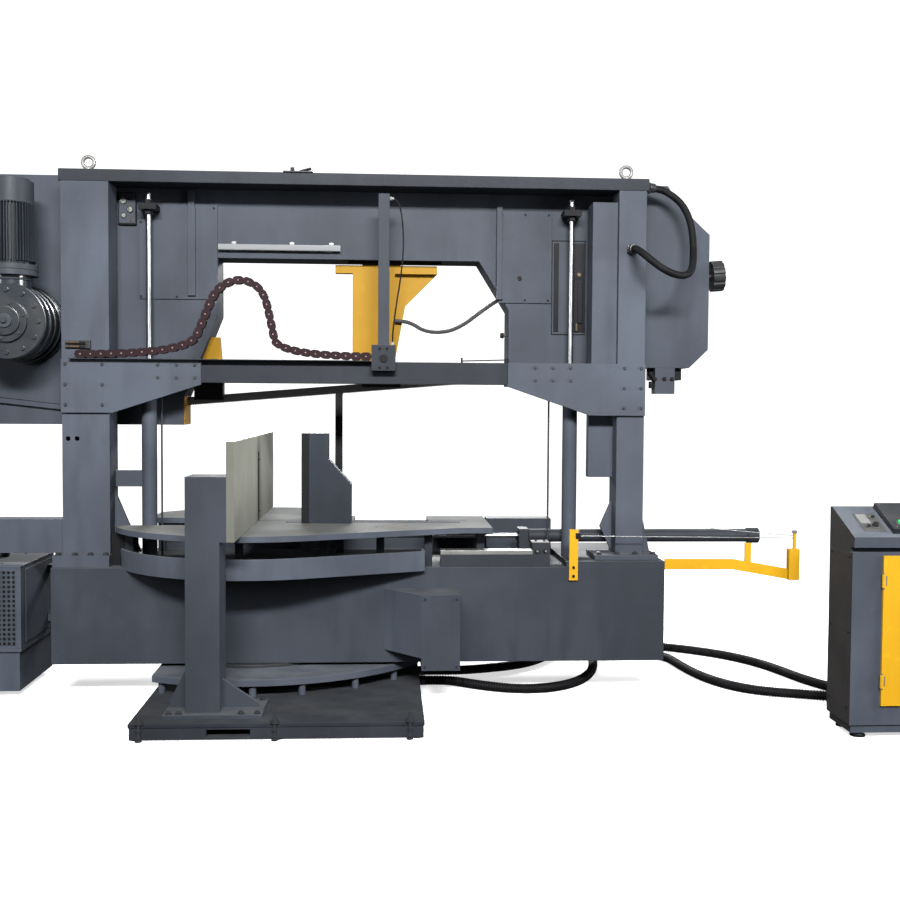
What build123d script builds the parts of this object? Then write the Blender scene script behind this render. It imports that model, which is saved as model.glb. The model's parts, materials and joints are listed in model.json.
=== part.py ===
from build123d import *
import os
from math import atan2, cos, degrees, pi, radians, sin, sqrt, tan

# Sizes are in millimetres. X runs along the beam, Y through the machine and Z up from the floor.
# The swivel axis stands at X 0, Y 0: on the fence face, in the plane of the saw blade.

# Clearances
RUN_GAP = 0.5
BORE_GAP = 0.3

# Floor base and turntable track
FOOT_HEIGHT = 4
FOOT_RADIUS = 30
FRAME_HEIGHT = 54
FRAME_TUBE = 60
FRAME_INSET = 4
PLATE_LEFT = -445
PLATE_RIGHT = 840
PLATE_FRONT = -1060
PLATE_REAR = 1000
PLATE_THICK = 18
CENTRE_PAD_RADIUS = 100
TRACK_POST_HEIGHT = 56
TRACK_POST_RADIUS = 17
TRACK_POST_INSET = 34
TRACK_ARC = 1000
TRACK_REACH = 655
TRACK_THICK = 33
PIVOT_RADIUS = 60
PIVOT_HEIGHT = 60
RING_THICK = 15
RING_OUTER = 420
RING_INNER = 300

# Main beam, table and chip tray
BEAM_HEIGHT = 475
BEAM_HALF_DEPTH = 380
BEAM_LEFT = -965
BEAM_PAST_COLUMN = 167
BEAM_WALL = 15
BEAM_STEP_LENGTH = 500
BEAM_STEP_HEIGHT = 28
TABLE_SUPPORT = 167
TABLE_THICK = 28
TABLE_RADIUS = 735
TABLE_LEFT = -665
TABLE_REAR_LEFT = -590
TABLE_REAR_RIGHT = 460
ARM_SLOPE = 22.5
ARM_END = 1200
ARM_FRONT = -365
ARM_REAR = 225
BLADE_SLOT = 14
BLADE_SLOT_END = 1100
WELL_RIGHT = -120
WELL_FRONT = -240
WELL_REAR = 122
TRAY_INSET = 22
TRAY_WALL = 18
TRAY_RISE = 85
TRAY_FLOOR = 14
TRAY_END = 860

# Columns and cross pieces of the gate
COLUMN_FRONT = -300
COLUMN_DEPTH = 170
COLUMN_HEIGHT = 1834
COLUMN_WALL = 12
FLANGE_THICK = 56
LEFT_COLUMN_X = -811
LEFT_COLUMN_WIDTH = 230
COLUMN_PAST_IDLER = 33
RIGHT_COLUMN_WIDTH = 141
TOP_BEAM_HEIGHT = 60
TOP_BEAM_OVERHANG = 12
CROSS_TOP = 1675
CROSS_TUBE_HEIGHT = 110
CROSS_TUBE_DEPTH = 90
CROSS_PLATE_DROP = 262
CROSS_PLATE_REACH = 450
CROSS_PLATE_THICK = 18
RAIL_WIDTH = 44
RAIL_THICK = 18

# Fence and vice
FENCE_THICK = 36
FENCE_HEIGHT = 445
FENCE_FRONT = -955
FENCE_REAR = 773
FENCE_SLOT = 12
SWIVEL_MAX = 40
PILLAR_WIDTH = 150
PILLAR_DEPTH = 200
PILLAR_RISE = 290
PILLAR_WALL = 12
ADAPTER_THICK = 30
JAW_OPENING = 235
JAW_HEIGHT = 462
JAW_PLATE = 40
JAW_BODY = 215
JAW_FRONT = -160
JAW_REAR = -40
JAW_CLOSE = 215
JAW_OPEN = 600
VICE_Y = -92
VICE_DROP = 70
VICE_ROD_RADIUS = 12
VICE_BARREL_RADIUS = 34
VICE_BLOCK_SETBACK = 710
VICE_PAST_BEAM = 570
LUG_WIDTH = 36
LUG_SLOT = 44

# Saw bow, wheels and blade
DRIVE_X = -1150
DRIVE_RISE = 1001
WHEEL_RADIUS = 440
WHEEL_WIDTH = 56
WHEEL_SPAN = 3031
CANT = 4.8
BLADE_WIDTH = 41
BLADE_THICK = 1.6
BOW_FRONT = -100
BOW_REAR = 100
BOW_WALL = 12
BOW_TRAVEL = 660
BOW_ABOVE_AXIS = 759
LEFT_BOX_BELOW = 500
RIGHT_BOX_BELOW = 291
COVER_BELOW = 188
BOW_LEFT_REACH = 490
BOW_RIGHT_REACH = 485
BOW_CHAMFER = 150
WINDOW_LEFT = -195
WINDOW_SETBACK = 570
WINDOW_ABOVE_AXIS = 354
LEFT_BOX_RIGHT = -369
COVER_PAST_IDLER = 150
DOOR_THICK = 10
DOOR_LEFT_END = -600
DOOR_PAST_WINDOW = 45
LIFT_Y = -165
LEFT_LIFT_X = -530
LIFT_SETBACK = 288
LIFT_BARREL_RADIUS = 38
LIFT_BORE_RADIUS = 30
LIFT_ROD_RADIUS = 13
TENSION_STROKE = 15
GUIDE_X = 640
GUIDE_LEFT = 60
GUIDE_RIGHT = 200

# Console and hydraulic cabinet
CONSOLE_LEFT = 2712
CONSOLE_WIDTH = 788
CONSOLE_FRONT = -1135
CONSOLE_REAR = -880
CONSOLE_FRONT_HEIGHT = 828
CONSOLE_GROOVE = 25
DESK_OVERHANG = 15
DESK_FRONT_HEIGHT = 896
DESK_LIP = 46
CONSOLE_REAR_HEIGHT = 1008
CONSOLE_RIM = 22
CONSOLE_WALL = 4
PLINTH_HEIGHT = 60
DOOR_INSET = 135
DOOR_WIDTH = 530
DOOR_BOTTOM = 149
DOOR_TOP = 814
CABINET_RIGHT = -1130
CABINET_WIDTH = 390
CABINET_FRONT = -310
CABINET_REAR = 245
CABINET_BOTTOM = 30
CABINET_TOP = 650

# Hoses
CONDUIT_RADIUS = 25
LOOP_RADIUS = 18
CABLE_RADIUS = 4
TOUCH = 0.01
HOSE_RADIUS = 11

# Levels that follow from the sizes above
PLATE_BOTTOM = FOOT_HEIGHT + FRAME_HEIGHT
PLATE_TOP = PLATE_BOTTOM + PLATE_THICK
TRACK_BOTTOM = PLATE_TOP + TRACK_POST_HEIGHT
TRACK_TOP = TRACK_BOTTOM + TRACK_THICK
BEAM_BOTTOM = TRACK_TOP + BORE_GAP + RING_THICK
BEAM_TOP = BEAM_BOTTOM + BEAM_HEIGHT
TABLE_BOTTOM = BEAM_TOP + TABLE_SUPPORT
TABLE_TOP = TABLE_BOTTOM + TABLE_THICK
COLUMN_REAR = COLUMN_FRONT + COLUMN_DEPTH
COLUMN_BASE = BEAM_TOP + FLANGE_THICK
COLUMN_TOP = COLUMN_BASE + COLUMN_HEIGHT
FENCE_BOTTOM = TABLE_TOP + RUN_GAP
FENCE_TOP = FENCE_BOTTOM + FENCE_HEIGHT
DRIVE_Z = TABLE_TOP + DRIVE_RISE
BOW_TOP = DRIVE_Z + BOW_ABOVE_AXIS
BOW_LEFT = DRIVE_X - BOW_LEFT_REACH
LEFT_BOX_BOTTOM = DRIVE_Z - LEFT_BOX_BELOW
RIGHT_BOX_BOTTOM = DRIVE_Z - RIGHT_BOX_BELOW
COVER_BOTTOM = DRIVE_Z - COVER_BELOW
WINDOW_TOP = DRIVE_Z + WINDOW_ABOVE_AXIS
VICE_Z = TABLE_TOP - VICE_DROP
CONSOLE_RIGHT = CONSOLE_LEFT + CONSOLE_WIDTH
DOOR_LEFT = CONSOLE_LEFT + DOOR_INSET
CANT_COS = cos(radians(CANT))
CANT_SIN = sin(radians(CANT))
IDLER_X = DRIVE_X + WHEEL_SPAN * CANT_COS
IDLER_Z = DRIVE_Z + WHEEL_SPAN * CANT_SIN
BOW_RIGHT = IDLER_X + BOW_RIGHT_REACH
WINDOW_RIGHT = IDLER_X - WINDOW_SETBACK
COVER_LEFT = IDLER_X + COVER_PAST_IDLER
DOOR_RIGHT_START = WINDOW_RIGHT + DOOR_PAST_WINDOW
RIGHT_COLUMN_X = IDLER_X + COLUMN_PAST_IDLER
RIGHT_LIFT_X = RIGHT_COLUMN_X - LIFT_SETBACK
BEAM_RIGHT = RIGHT_COLUMN_X + BEAM_PAST_COLUMN
BEAM_STEP_LEFT = BEAM_RIGHT - BEAM_STEP_LENGTH
VICE_BLOCK_X = BEAM_RIGHT - VICE_BLOCK_SETBACK
VICE_END = BEAM_RIGHT + VICE_PAST_BEAM
TRIP_BAR_X = BEAM_RIGHT - 466
TRIP_PIN_X = BEAM_RIGHT + 665


def box(x0, x1, y0, y1, z0, z1):
    return Pos((x0 + x1) / 2, (y0 + y1) / 2, (z0 + z1) / 2) * Box(x1 - x0, y1 - y0, z1 - z0)


def bar(start, end, radius):
    """Round bar between two points."""
    along = Vector(*end) - Vector(*start)
    return Solid.make_cylinder(radius, along.length, Plane(origin=start, z_dir=along))


def flat(points):
    return make_face(Polyline(*points, close=True))


def prism_z(points, z0, z1):
    return Pos(0, 0, z0) * extrude(flat(points), z1 - z0, dir=(0, 0, 1))


def stand_up(face, y0, y1):
    """Extrude a face drawn as X and Z, through the depth from y0 to y1."""
    return Pos(0, y1, 0) * Rot(90, 0, 0) * extrude(face, y1 - y0, dir=(0, 0, 1))


def prism_y(points, y0, y1):
    return stand_up(flat(points), y0, y1)


def prism_x(points, x0, x1):
    """Extrude a profile drawn as Y and Z, along X."""
    face = Face(Wire.make_polygon([(x0, y, z) for y, z in points]))
    return Solid.extrude(face, (x1 - x0, 0, 0))


def group(*shapes):
    return Compound([solid for shape in shapes for solid in shape.solids()])


def tube_x(x0, x1, y0, y1, z0, z1, wall):
    """Square box closed on all sides."""
    inner = box(x0 + wall, x1 - wall, y0 + wall, y1 - wall, z0 + wall, z1 - wall)
    return box(x0, x1, y0, y1, z0, z1) - inner


def bow_place(shape):
    """Move a shape drawn along the blade, from the drive axis, to its canted place."""
    return Pos(DRIVE_X, 0, DRIVE_Z) * Rot(0, -CANT, 0) * shape


def blade_u(x):
    """Distance along the blade's lower run that lies at X."""
    return (x - DRIVE_X - WHEEL_RADIUS * CANT_SIN) / CANT_COS


def blade_z(x):
    return DRIVE_Z + blade_u(x) * CANT_SIN - WHEEL_RADIUS * CANT_COS


def route(points):
    """Straight runs joined by tangent arcs as large as the runs allow."""
    places = [Vector(*point) for point in points]
    radii = []
    for before, here, after in zip(places, places[1:], places[2:]):
        turn = radians((here - before).get_angle(after - here))
        radii.append(0.45 * min((here - before).length, (after - here).length) / tan(turn / 2))
    return FilletPolyline(*places, radius=radii), radii


def hose(name, points, radius):
    path, radii = route(points)
    section = Plane(origin=path @ 0, z_dir=path % 0) * Circle(radius)
    solid = sweep(section, path=path)
    share = solid.volume / (pi * radius**2 * path.length)
    print(name, "length", round(path.length), "radii", [round(r) for r in radii], "fill", round(share, 4))
    return solid


def ribbed_hose(name, points, radius, rib_depth, wall, ribs):
    """Corrugated hose: crests and roots along the route, with an open bore."""
    path, radii = route(points)
    steps = []
    for rib in range(ribs):
        for share, lift in ((0.0, 0), (0.25, 1), (0.5, 1), (0.75, 0)):
            steps.append(((rib + share) / ribs, radius if lift else radius - rib_depth))
    steps.append((1.0, radius - rib_depth))
    outer = []
    inner = []
    for place, size in steps:
        plane = Plane(origin=path @ place, x_dir=(0, 0, 1), z_dir=path % place)
        if abs((path % place).Z) > 0.7:
            plane = Plane(origin=path @ place, x_dir=(0, 1, 0), z_dir=path % place)
        outer.append(Wire.make_circle(size, plane))
        inner.append(Wire.make_circle(radius - rib_depth - wall, plane))
    solid = Solid.make_loft(outer, ruled=True) - Solid.make_loft(inner[::4], ruled=True)
    print(name, "length", round(path.length), "radii", [round(r) for r in radii], "ribs", ribs)
    return solid


def base_frame():
    left, right = PLATE_LEFT + FRAME_INSET, PLATE_RIGHT - FRAME_INSET
    front, rear = PLATE_FRONT + FRAME_INSET, PLATE_REAR - FRAME_INSET
    low, high = FOOT_HEIGHT, PLATE_BOTTOM
    frame = box(left, right, front, rear, low, high)
    frame -= box(left + FRAME_TUBE, right - FRAME_TUBE, front + FRAME_TUBE, rear - FRAME_TUBE, low, high)
    frame += box(left, right, -FRAME_TUBE / 2, FRAME_TUBE / 2, low, high)
    frame += bar((0, 0, 0), (0, 0, high), CENTRE_PAD_RADIUS)
    fork_width, fork_margin = 190, 10
    frame -= box(-110, fork_width - 110, front, front + FRAME_TUBE, low + fork_margin, high - fork_margin)
    return frame


def levelling_feet():
    edge = FRAME_INSET + FOOT_RADIUS
    middle = (PLATE_LEFT + PLATE_RIGHT) / 2
    feet = []
    for x in (PLATE_LEFT + edge, middle, PLATE_RIGHT - edge):
        for y in (PLATE_FRONT + edge, PLATE_REAR - edge):
            feet.append(bar((x, y, 0), (x, y, FOOT_HEIGHT), FOOT_RADIUS))
    return group(*feet)


def base_plate():
    plate = box(PLATE_LEFT, PLATE_RIGHT, PLATE_FRONT, PLATE_REAR, PLATE_BOTTOM, PLATE_TOP)
    return plate


def track_outline():
    """Flat arcs at front and rear, cut off square at the base plate's sides."""
    shift = TRACK_ARC - TRACK_REACH
    lens = Pos(0, shift) * Circle(TRACK_ARC) & Pos(0, -shift) * Circle(TRACK_ARC)
    left, right = PLATE_LEFT, PLATE_RIGHT - FRAME_INSET
    return lens & Pos((left + right) / 2, 0) * Rectangle(right - left, 2 * TRACK_ARC)


def track_posts():
    reach = TRACK_ARC - TRACK_POST_INSET
    posts = []
    for x in (-400, 40, 270, 520, 710):
        y = sqrt(reach**2 - x**2) - TRACK_ARC + TRACK_REACH
        for side in (-y, y):
            posts.append(bar((x, side, PLATE_TOP), (x, side, TRACK_BOTTOM), TRACK_POST_RADIUS))
    return group(*posts)


def track_plate():
    plate = Pos(0, 0, TRACK_BOTTOM) * extrude(track_outline(), TRACK_THICK)
    boss = bar((0, 0, PLATE_TOP), (0, 0, TRACK_BOTTOM), 2 * PIVOT_RADIUS)
    pin = bar((0, 0, TRACK_TOP), (0, 0, BEAM_BOTTOM + PIVOT_HEIGHT), PIVOT_RADIUS)
    return plate + boss + pin


def pillar(front, side):
    """Fence pillar with its foot plate, gussets and the adapter that carries the fence."""
    right = -FENCE_THICK - ADAPTER_THICK
    left = right - PILLAR_WIDTH
    rear = front + PILLAR_DEPTH
    top = TABLE_TOP + PILLAR_RISE
    foot_top = PLATE_TOP + PLATE_THICK
    middle = (front + rear) / 2
    gusset_half = 8
    foot_reach, foot_margin = 95, 40
    shape = box(left - foot_reach, right + 2 * foot_reach, front - foot_margin, rear + foot_margin,
                PLATE_TOP, foot_top)
    shape += box(left, right, front, rear, foot_top, top)
    wall = PILLAR_WALL
    shape -= box(left + wall, right - wall, front + wall, rear - wall, foot_top, top - wall)
    heel, toe = left - foot_reach + 10, right + 160
    left_gusset = [(left, foot_top), (heel, foot_top), (heel, foot_top + 30), (left, foot_top + 200)]
    right_gusset = [(right, foot_top), (toe, foot_top), (toe, foot_top + 20), (right, foot_top + 130)]
    for points in (left_gusset, right_gusset):
        shape += prism_y(points, middle - gusset_half, middle + gusset_half)
    adapter_bottom = FENCE_BOTTOM + 40 if side == "rear" else FENCE_BOTTOM
    adapter_front = front if side == "front" else FENCE_REAR - 370
    shape += box(right, -FENCE_THICK, adapter_front, rear, adapter_bottom, top)
    return shape


def fence_pillars():
    return group(pillar(FENCE_FRONT, "front"), pillar(TABLE_RADIUS + 20, "rear"))


def fence_plates():
    """Two fence plates with a gap that the turned blade passes."""
    half = FENCE_SLOT / 2
    relief = half + FENCE_THICK * tan(radians(SWIVEL_MAX)) + RUN_GAP
    front = [(0, FENCE_FRONT), (0, -half), (-FENCE_THICK, -relief), (-FENCE_THICK, FENCE_FRONT)]
    rear = [(0, half), (0, FENCE_REAR), (-FENCE_THICK, FENCE_REAR), (-FENCE_THICK, half)]
    return group(*[prism_z(points, FENCE_BOTTOM, FENCE_TOP) for points in (front, rear)])


def slew_ring():
    ring = Circle(RING_OUTER) - Circle(RING_INNER)
    return Pos(0, 0, TRACK_TOP + BORE_GAP) * extrude(ring, RING_THICK)


def main_beam():
    depth = BEAM_HALF_DEPTH
    beam = tube_x(BEAM_LEFT, BEAM_RIGHT, -depth, depth, BEAM_BOTTOM, BEAM_TOP, BEAM_WALL)
    beam -= bar((0, 0, BEAM_BOTTOM), (0, 0, BEAM_BOTTOM + BEAM_WALL), PIVOT_RADIUS + RUN_GAP)
    beam += box(BEAM_STEP_LEFT, BEAM_RIGHT, -depth, depth, BEAM_TOP, BEAM_TOP + BEAM_STEP_HEIGHT)
    rail_left, rail_front, rail_rear, rail_top = BEAM_STEP_LEFT - 355, 150, 270, BEAM_TOP + 190
    beam += box(rail_left, BEAM_STEP_LEFT, rail_front, rail_rear, BEAM_TOP, rail_top)
    apron_left, apron_front, apron_rear = TABLE_REAR_LEFT + 10, 345, 357
    beam += box(apron_left, rail_left, apron_front, apron_rear, BEAM_TOP, TABLE_BOTTOM - 8)
    return beam


def drive_housing():
    """Trapezoid casing of the swivel drive on the beam's front."""
    front = -BEAM_HALF_DEPTH - 210
    nose, end, top = 840, 1026, BEAM_BOTTOM + 372
    cheek = prism_z([(660, -BEAM_HALF_DEPTH), (nose, front), (nose, -BEAM_HALF_DEPTH)], BEAM_BOTTOM + 65, top)
    return cheek + box(nose, end, front, -BEAM_HALF_DEPTH, BEAM_BOTTOM + 5, top)


def table_outline(inset, end):
    """Round table with a tapered arm on its right."""
    radius = TABLE_RADIUS - inset
    slope = radians(ARM_SLOPE)
    tangent = (radius * sin(slope), -radius * cos(slope))
    bend = tangent[0] + (ARM_FRONT + inset - tangent[1]) / tan(slope)
    front = ARM_FRONT + inset
    arm = [tangent, (bend, front), (end, front), (end, ARM_REAR), (0, ARM_REAR), (0, 0)]
    if end < bend:
        rise = tangent[1] + (end - tangent[0]) * tan(slope)
        arm = [tangent, (end, rise), (end, ARM_REAR), (0, ARM_REAR), (0, 0)]
    return Circle(radius) + flat(arm)


def chip_tray():
    """Curved chip tray in front of the beam, under the table's edge."""
    outer = table_outline(TRAY_INSET, TRAY_END)
    inner = table_outline(TRAY_INSET + TRAY_WALL, TRAY_END - TRAY_WALL)
    left = TABLE_LEFT + TRAY_INSET
    wall_rear, far = -290, 2 * TABLE_RADIUS
    wall = extrude(outer, TRAY_RISE) - extrude(inner, TRAY_RISE)
    wall -= box(-far, left, -far, far, 0, TRAY_RISE)
    wall -= box(-far, far, wall_rear, far, 0, TRAY_RISE)
    floor = extrude(outer, -TRAY_FLOOR)
    floor -= box(-far, left, -far, far, -TRAY_FLOOR, 0)
    floor -= box(-far, far, -BEAM_HALF_DEPTH, far, -TRAY_FLOOR, 0)
    return Pos(0, 0, BEAM_TOP) * (wall + floor)


def table_plate():
    low, high, far = TABLE_BOTTOM, TABLE_TOP, 2 * TABLE_RADIUS
    plate = Pos(0, 0, low) * extrude(table_outline(0, ARM_END), TABLE_THICK)
    plate -= box(-far, TABLE_LEFT, -far, far, low, high)
    plate -= box(-far, TABLE_REAR_LEFT, 0, far, low, high)
    plate -= box(TABLE_REAR_RIGHT, far, ARM_REAR, far, low, high)
    half = BLADE_SLOT / 2
    plate -= box(-far, BLADE_SLOT_END, -half, half, low, high)
    plate -= box(-far, WELL_RIGHT, WELL_FRONT, WELL_REAR, low, high)
    lug_left, lug_right = lug_span()
    margin = 15
    slot_left, slot_right = lug_left - JAW_CLOSE - margin, lug_right + JAW_OPEN + margin
    plate -= box(slot_left, slot_right, VICE_Y - LUG_SLOT / 2, VICE_Y + LUG_SLOT / 2, low, high)
    plate -= box(500, 890, -45, ARM_REAR, low, high)
    for x in (620, 650):
        plate -= bar((x, -320, low), (x, -320, high), 7)
    return plate


def table_posts():
    width, depth = 40, 20
    places = [(-600, -300), (-550, 250), (-300, 330), (180, 330), (420, 180), (-60, -330), (360, -330)]
    places += [(640, -330), (880, -330), (1150, -240), (1150, 180)]
    posts = []
    for x, y in places:
        posts.append(box(x - width / 2, x + width / 2, y - depth / 2, y + depth / 2, BEAM_TOP, TABLE_BOTTOM))
    guide_left, guide_right, guide_front, guide_rear = 385, 425, 335, 375
    posts.append(box(guide_left, guide_right, guide_front, guide_rear, TABLE_TOP, CROSS_TOP - 115))
    return group(*posts)


def column(centre, width):
    left, right = centre - width / 2, centre + width / 2
    wall = COLUMN_WALL
    shape = box(left, right, COLUMN_FRONT, COLUMN_REAR, COLUMN_BASE, COLUMN_TOP)
    shape -= box(left + wall, right - wall, COLUMN_FRONT + wall, COLUMN_REAR - wall, COLUMN_BASE, COLUMN_TOP)
    return shape


def left_column():
    left = LEFT_COLUMN_X - LEFT_COLUMN_WIDTH / 2
    right = LEFT_COLUMN_X + LEFT_COLUMN_WIDTH / 2
    shape = column(LEFT_COLUMN_X, LEFT_COLUMN_WIDTH)
    flange_left = max(left - 75, BEAM_LEFT)
    shape += box(flange_left, right + 6, COLUMN_FRONT - 50, COLUMN_REAR + 15, BEAM_TOP, COLUMN_BASE)
    gusset = [(right, COLUMN_BASE), (right + 130, COLUMN_BASE), (right, COLUMN_BASE + 310)]
    shape += prism_y(gusset, COLUMN_FRONT + 100, COLUMN_FRONT + 120)
    for x in (left + 28, left + 72):
        shape -= bar((x, COLUMN_FRONT, 1285), (x, COLUMN_FRONT + COLUMN_WALL, 1285), 12)
    rail_reach, rail_depth, rail_low, rail_high = 634, 120, 714, 882
    rail_front = COLUMN_REAR - rail_depth - 10
    rail_rear = rail_front + rail_depth
    shape += tube_x(left - rail_reach, left, rail_front, rail_rear, rail_low, rail_high, COLUMN_WALL)
    return shape


def right_column():
    left = RIGHT_COLUMN_X - RIGHT_COLUMN_WIDTH / 2
    right = RIGHT_COLUMN_X + RIGHT_COLUMN_WIDTH / 2
    shape = column(RIGHT_COLUMN_X, RIGHT_COLUMN_WIDTH)
    step = BEAM_TOP + BEAM_STEP_HEIGHT
    foot_right = min(right + 70, BEAM_RIGHT)
    shape += box(left - 115, foot_right, COLUMN_FRONT - 50, COLUMN_REAR + 15, step, COLUMN_BASE)
    inner = [(left, COLUMN_BASE), (left - 62, COLUMN_BASE + 130), (left, COLUMN_BASE + 270)]
    outer = [(right, COLUMN_BASE), (right + 60, COLUMN_BASE), (right, COLUMN_BASE + 270)]
    for points in (inner, outer):
        shape += prism_y(points, COLUMN_FRONT + 100, COLUMN_FRONT + 120)
    cover_width, cover_low, cover_high = 128, 1095, 2490
    shape += box(left - cover_width, left, COLUMN_FRONT + 30, COLUMN_REAR - 15, CROSS_TOP, cover_high)
    cover_front = COLUMN_FRONT + CROSS_TUBE_DEPTH + 6
    shape += box(left - cover_width, left, cover_front, COLUMN_REAR - 15, cover_low, CROSS_TOP)
    return shape


def top_beam():
    left = LEFT_COLUMN_X - LEFT_COLUMN_WIDTH / 2 - TOP_BEAM_OVERHANG
    right = RIGHT_COLUMN_X + RIGHT_COLUMN_WIDTH / 2 + TOP_BEAM_OVERHANG
    top = COLUMN_TOP + TOP_BEAM_HEIGHT
    return tube_x(left, right, COLUMN_FRONT, COLUMN_REAR, COLUMN_TOP, top, COLUMN_WALL)


def gate_bolts():
    """Lifting eyes on the top beam and bolt heads on the cross plates."""
    top = COLUMN_TOP + TOP_BEAM_HEIGHT
    middle = (COLUMN_FRONT + COLUMN_REAR) / 2
    pieces = []
    for x in (LEFT_COLUMN_X, RIGHT_COLUMN_X - 20):
        collar = bar((x, middle, top), (x, middle, top + 14), 28)
        eye = Pos(x, middle, top + 46) * Rot(90, 0, 0) * Torus(28, 9)
        pieces.append(collar + eye)
    face = COLUMN_FRONT - CROSS_PLATE_THICK
    head = 8
    left_x = LEFT_COLUMN_X - LEFT_COLUMN_WIDTH / 2
    right_x = RIGHT_COLUMN_X + RIGHT_COLUMN_WIDTH / 2
    for edge, way in ((left_x, 1), (right_x, -1)):
        inner = 200 if way > 0 else 108
        for offset in (22, inner):
            for drop in (22, 122, 222):
                pieces.append(bolt(edge + way * offset, face, CROSS_TOP - drop, head))
    left_inner = LEFT_COLUMN_X + LEFT_COLUMN_WIDTH / 2
    right_inner = RIGHT_COLUMN_X - RIGHT_COLUMN_WIDTH / 2
    for edge, way in ((left_inner, 1), (right_inner, -1)):
        for offset in (240, 330, 420):
            for drop in (22, 85):
                pieces.append(bolt(edge + way * offset, face, CROSS_TOP - drop, head))
    return group(*pieces)


def bolt(x, face, z, radius):
    """Hexagon bolt head on a face that looks to the front."""
    return Pos(x, face, z) * Rot(90, 0, 0) * extrude(RegularPolygon(radius, 6), 9)


def cross_member():
    left = LEFT_COLUMN_X + LEFT_COLUMN_WIDTH / 2
    right = RIGHT_COLUMN_X - RIGHT_COLUMN_WIDTH / 2
    rear = COLUMN_FRONT + CROSS_TUBE_DEPTH
    bottom = CROSS_TOP - CROSS_TUBE_HEIGHT
    tube = tube_x(left, right, COLUMN_FRONT, rear, bottom, CROSS_TOP, COLUMN_WALL / 2)
    tray_left, tray_right, tray_front, tray_thick = left - 185, 590, COLUMN_FRONT - 50, 5
    tray = box(tray_left, tray_right, tray_front, COLUMN_FRONT, CROSS_TOP, CROSS_TOP + tray_thick)
    tray += box(left, tray_right, COLUMN_FRONT, COLUMN_FRONT + 30, CROSS_TOP, CROSS_TOP + tray_thick)
    return tube + tray


def cross_plates():
    """Bolted end plates that widen towards the columns."""
    bottom = CROSS_TOP - CROSS_PLATE_DROP
    slim = CROSS_TOP - CROSS_TUBE_HEIGHT - 10
    left0, left1 = LEFT_COLUMN_X - LEFT_COLUMN_WIDTH / 2, LEFT_COLUMN_X + LEFT_COLUMN_WIDTH / 2
    right0, right1 = RIGHT_COLUMN_X - RIGHT_COLUMN_WIDTH / 2, RIGHT_COLUMN_X + RIGHT_COLUMN_WIDTH / 2
    reach = left1 + CROSS_PLATE_REACH
    left = [(left0, bottom), (left1 + 17, bottom), (reach, slim), (reach, CROSS_TOP), (left0, CROSS_TOP)]
    reach = right0 - CROSS_PLATE_REACH - 108
    right = [(right1, bottom), (right1, CROSS_TOP), (reach, CROSS_TOP), (reach, slim), (right0 - 141, bottom)]
    front = COLUMN_FRONT - CROSS_PLATE_THICK
    return group(*[prism_y(points, front, COLUMN_FRONT) for points in (left, right)])


def guide_rails():
    low, high = COLUMN_BASE + 240, COLUMN_TOP - 10
    rails = []
    for x in (LEFT_COLUMN_X, RIGHT_COLUMN_X):
        half = RAIL_WIDTH / 2
        rails.append(box(x - half, x + half, COLUMN_REAR, COLUMN_REAR + RAIL_THICK, low, high))
    return group(*rails)


def bow_carriages():
    """Blocks on the bow that run on the column rails."""
    jaw, length = 26, 120
    blocks = []
    for x in (LEFT_COLUMN_X, RIGHT_COLUMN_X):
        half = RAIL_WIDTH / 2 + RUN_GAP
        for z in (CROSS_TOP - 10, BOW_TOP - 190):
            block = box(x - half - jaw, x + half + jaw, COLUMN_REAR + 6, BOW_FRONT, z, z + length)
            block -= box(x - half, x + half, COLUMN_REAR, COLUMN_REAR + RAIL_THICK + RUN_GAP, z, z + length)
            blocks.append(block)
    return group(*blocks)


def lift_places():
    return (LEFT_LIFT_X, RIGHT_LIFT_X)


def lift_barrels():
    """Lift cylinders standing on the beam, with a bored head each."""
    top, head, floor = CROSS_TOP - 75, 40, 20
    barrels = []
    for x in lift_places():
        foot = BEAM_TOP + (BEAM_STEP_HEIGHT if x > BEAM_STEP_LEFT else 0)
        barrel = bar((x, LIFT_Y, foot), (x, LIFT_Y, top), LIFT_BARREL_RADIUS)
        if x == LEFT_LIFT_X:
            column_side = LEFT_COLUMN_X + LEFT_COLUMN_WIDTH / 2
            barrel += box(column_side, x, LIFT_Y - 20, LIFT_Y + 20, 1040, 1122)
        barrel -= bar((x, LIFT_Y, foot + floor), (x, LIFT_Y, top - head), LIFT_BORE_RADIUS)
        barrel -= bar((x, LIFT_Y, top - head), (x, LIFT_Y, top), LIFT_ROD_RADIUS + BORE_GAP)
        barrels.append(barrel)
    return group(*barrels)


def lift_rods():
    """Lift rods with pistons below, and a bracket and nuts that carry the bow."""
    bracket_top = COLUMN_TOP - 85
    low = BEAM_TOP + BOW_TRAVEL + 60
    rods = []
    for x in lift_places():
        rod = bar((x, LIFT_Y, low), (x, LIFT_Y, bracket_top + 55), LIFT_ROD_RADIUS)
        rod += bar((x, LIFT_Y, low), (x, LIFT_Y, low + 40), LIFT_BORE_RADIUS - BORE_GAP)
        rod += box(x - 45, x + 45, LIFT_Y - 40, BOW_FRONT, bracket_top - 30, bracket_top)
        for z in (bracket_top, bracket_top - 52):
            rod += Pos(x, LIFT_Y, z) * extrude(RegularPolygon(24, 6), 22)
        rods.append(rod)
    return group(*rods)


def switch_post():
    """Square post for the height switches, in a clamp on the cross tube."""
    left, right, front = 625, 680, COLUMN_FRONT - 50
    post = box(left, right, front, COLUMN_FRONT, CROSS_TOP - 35, COLUMN_TOP - 45)
    cheek, low, high = 32, CROSS_TOP - 46, CROSS_TOP + 82
    post += box(left - cheek, right + cheek, front - 10, front, low, high)
    post += box(left - cheek, left, front, COLUMN_FRONT, low, high)
    post += box(right, right + cheek, front, COLUMN_FRONT, low, high)
    return post


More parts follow.
